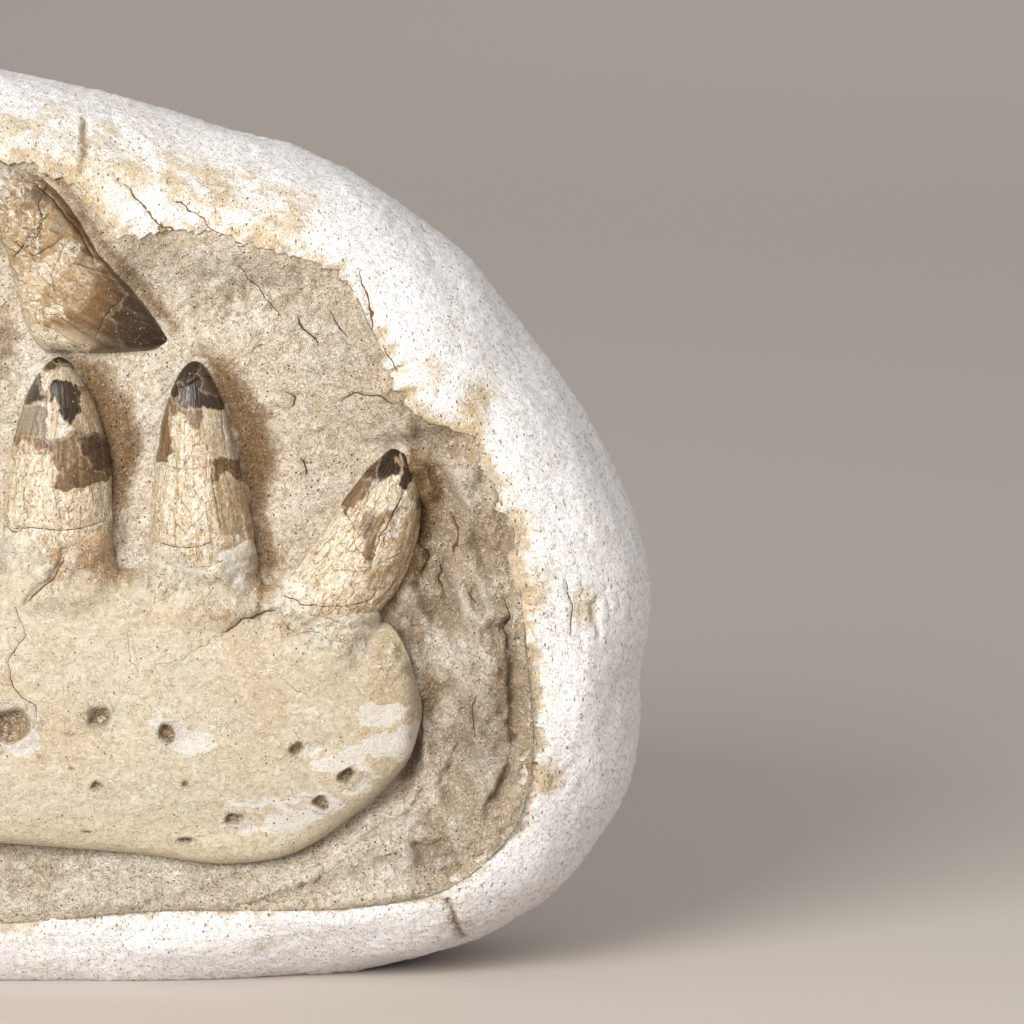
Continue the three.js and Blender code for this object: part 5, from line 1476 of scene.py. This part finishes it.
# Relief: broad swells, knuckle-sized lumps, trowel strokes that run along the rim, and a crust
# near the matrix where the wet plaster took up sand.
stains = blobs(x, z, PLASTER_STAINS)
crusty = np.maximum(np.clip(stains, 0, 1), 1 - smooth(1, 9, from_lip)) * on_front
around = np.broadcast_to(np.interp(angle, outline_angle, outline_length), x.shape)
strokes = noise(around / 14, from_lip / 1.7, depth / 20, 1, 187, 2) * smooth(5, 14, from_lip)
crust_relief = 0.35 * noise(x, depth, z, 3, 189, 3) + 0.2 * noise(x, depth, z, 1.1, 191)
relief = (noise(x, depth, z, 46, 181, 2) + 0.5 * noise(x, depth, z, 15, 183, 2)
          + 0.1 * noise(x, depth, z, 3.4, 185, 2) + 0.2 * strokes + crusty * crust_relief - 0.3
          + blobs(x, z, PLASTER_KNOBS) * on_front)
jag_x, jag_z = x + 0.7 * noise(x, 0, z, 3, 193, 3), z + 0.7 * noise(x, 0, z, 3, 195, 3)
cut = np.zeros_like(x)
for cut_depth, line in grooves(jag_x, jag_z, PLASTER_CUTS, 0.5, 0):
    relief -= cut_depth * line * on_front
    cut = np.maximum(cut, line * on_front * smooth(0.5, 2, cut_depth))
skin += outward(skin) * (relief * outside * smooth(-0.5, 2.5, from_lip))[..., None]
skin[..., 2] = np.maximum(skin[..., 2], 0)
box_low, box_high = (np.array(corner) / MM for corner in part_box("plaster_jacket"))
skin_low, skin_high = skin.min((0, 1)), skin.max((0, 1))
skin = box_low + (skin - skin_low) * (box_high - box_low) / (skin_high - skin_low)

# Colour: white plaster, sandy where it is stained and at its lip, with brown cracks.
stain = (stains + 0.75 * (1 - smooth(0.3, 6, from_lip))) * on_front
patchy = noise(x, depth, z, 5, 197, 3)
lip_pale = smooth(0.75, 0.25, stain + 0.8 * noise(x, depth, z, 3, 201, 2)) * smooth(9, 3, from_lip)
lip_sand = smooth(0.35, 0.8, 1 - from_lip / 5 + 0.7 * noise(x, depth, z, 3.6, 203, 3))
in_chip = np.maximum.reduce([inside(jag_x, jag_z, outline) for outline in WHITE_CHIPS])
marks = {
    "paint": paint("#EEECED", [
        (smooth(0.1, 0.9, noise(x, depth, z, 30, 199, 2)) * 0.4, "#E3E0DE"),
        (smooth(0.2, 1.1, stain + 0.45 * patchy) * 0.7, "#CFBF9F"),
        (smooth(0.7, 1.5, stain + 0.6 * patchy) * 0.5, "#B99B6B"),
        (lip_pale * 0.6 * on_front, "#E6E2DB"),
        (lip_sand * 0.75 * on_front, "#B3A285"),
        (smooth(-0.25, 0.25, in_chip) * on_front * 0.9, "#ECE9E4"),
        (smooth(14, 0, skin[..., 2]) * 0.05, "#B9A78A"),
        (cut * 0.8, "#8B6E45"),
    ]),
    "crust": crusty,
    "from_lip": from_lip,
    **crack_lines(jag_x, jag_z, PLASTER_CUTS, on_front),
}

# Gypsum plaster: chalky and matt, with air-bubble pinholes, fine lines where the trowel dragged
# along the rim, and brown sand caught in its surface.
PLASTER_GRIT, PLASTER_CURL, PLASTER_CLOUD, PLASTER_STROKE = 0.55, 2.0, 9, 1.6  # waves of its patterns
# Pinholes and drag holes: spacing, lean in degrees, and how much they are drawn out upwards
HOLE_KINDS, HOLE_EDGE = ((1.7, 35, 0.5), (1.15, -50, 0.6), (0.8, 0, 1.0)), (0.19, 0.13)
plaster, tree = new_material("gypsum plaster")
coords = add(tree, "TexCoord").outputs["Object"]
painted = add(tree, "Attribute", attribute_name="paint").outputs["Color"]
crust = add(tree, "Attribute", attribute_name="crust").outputs["Fac"]
from_rim = add(tree, "Attribute", attribute_name="from_lip").outputs["Fac"]
grit = add(tree, "TexNoise", {"Vector": coords, "Scale": 1 / (PLASTER_GRIT * MM), "Detail": 3.0,
                              "Roughness": 0.7, "Distortion": 0.7}).outputs["Fac"]
curl = add(tree, "TexNoise", {"Vector": coords, "Scale": 1 / (PLASTER_CURL * MM), "Detail": 4.0,
                              "Roughness": 0.65, "Distortion": 2.0}).outputs["Fac"]
cloud = add(tree, "TexNoise", {"Vector": coords, "Scale": 1 / (PLASTER_CLOUD * MM), "Detail": 4.0,
                               "Roughness": 0.6}).outputs["Fac"]
odds = add(tree, "Math", {0: crust, 1: 0.35}, operation="MULTIPLY").outputs[0]
odds = add(tree, "Math", {0: cloud, 1: 1.5, 2: odds}, operation="MULTIPLY_ADD").outputs[0]
hole = 0
for spacing, lean, stretch in HOLE_KINDS:
    turned = add(tree, "Mapping", {"Vector": coords, "Rotation": (0, math.radians(lean), 0),
                                   "Scale": (1, 1, stretch)}).outputs[0]
    dot = dots(tree, turned, spacing, HOLE_EDGE, odds, (1.31, 1.39))
    hole = add(tree, "Math", {0: dot, 1: hole}, operation="MAXIMUM").outputs[0]
beside_rim = add(tree, "Math", {0: from_rim, 1: 1.5}, operation="MULTIPLY").outputs[0]
along_rim = add(tree, "VectorMath", {0: coords, "Scale": 0.05 / MM}, operation="SCALE").outputs[0]
along_rim = add(tree, "SeparateXYZ", {"Vector": along_rim}).outputs
drag_at = add(tree, "CombineXYZ", {"X": beside_rim, "Y": along_rim["X"], "Z": along_rim["Z"]}).outputs[0]
drag = add(tree, "TexNoise", {"Vector": drag_at, "Scale": 1.0, "Detail": 4.0,
                              "Roughness": 0.7}).outputs["Fac"]
line = crack_mask(tree, grit)
ridge, furrow = curls(tree, coords, PLASTER_STROKE, 0.035, 1.0)
# Painted highlight on the curls' ridges and painted shade in their furrows.
ridge_highlight = add(tree, "Math", {0: ridge, 1: 0.5}, operation="MULTIPLY").outputs[0]
furrow_shade = add(tree, "MapRange", {"Value": crust, "To Min": 0.55, "To Max": 0.8}).outputs[0]
furrow_shade = add(tree, "Math", {0: furrow, 1: furrow_shade}, operation="MULTIPLY").outputs[0]
hole_share = add(tree, "MapRange", {"Value": crust, "To Min": 0.75, "To Max": 0.9}).outputs[0]
hole_share = add(tree, "Math", {0: hole, 1: hole_share}, operation="MULTIPLY").outputs[0]
sandy_share = add(tree, "Math", {0: crust, 1: 0.6, 2: 0.1}, operation="MULTIPLY_ADD").outputs[0]
colour = lay_tones(tree, painted, [
    (curl, 0.46, 0.34, 0.5, "#EFEDEB"),
    (drag, 0.54, 0.72, 0.3, "#CFC8BF"),
    (curl, 0.5, 0.62, sandy_share, "#B99A68"),
    (grit, 0.55, 0.7, 0.08, "#C4B59D"),
], [(ridge_highlight, "#F1EEEA"), (furrow_shade, "#A68B60"), (hole_share, "#7C6038"), (line, "#6B5235")])
crust_height = add(tree, "Math", {0: crust, 1: 1.3, 2: 0.7}, operation="MULTIPLY_ADD").outputs[0]
height = stack_heights(tree, cloud, [(curl, -0.3), (grit, -1.2)])
height = add(tree, "Math", {0: height, 1: crust_height}, operation="MULTIPLY").outputs[0]
height = stack_heights(tree, height, [
    (ridge, 0.4), (furrow, -0.6), (drag, -1.3), (hole, -0.8), (line, -1.2),
])
bump = add(tree, "Bump", {"Height": height, "Strength": 0.62, "Distance": 0.5 * MM}).outputs["Normal"]
surface = add(tree, "BsdfPrincipled", {"Base Color": colour, "Roughness": 0.88, "IOR": 1.5, "Normal": bump,
                                       "Specular IOR Level": 0.3})
add(tree, "OutputMaterial", {"Surface": surface.outputs["BSDF"]})

make_rings("plaster_jacket_skin", skin, marks, plaster, "plaster_jacket")
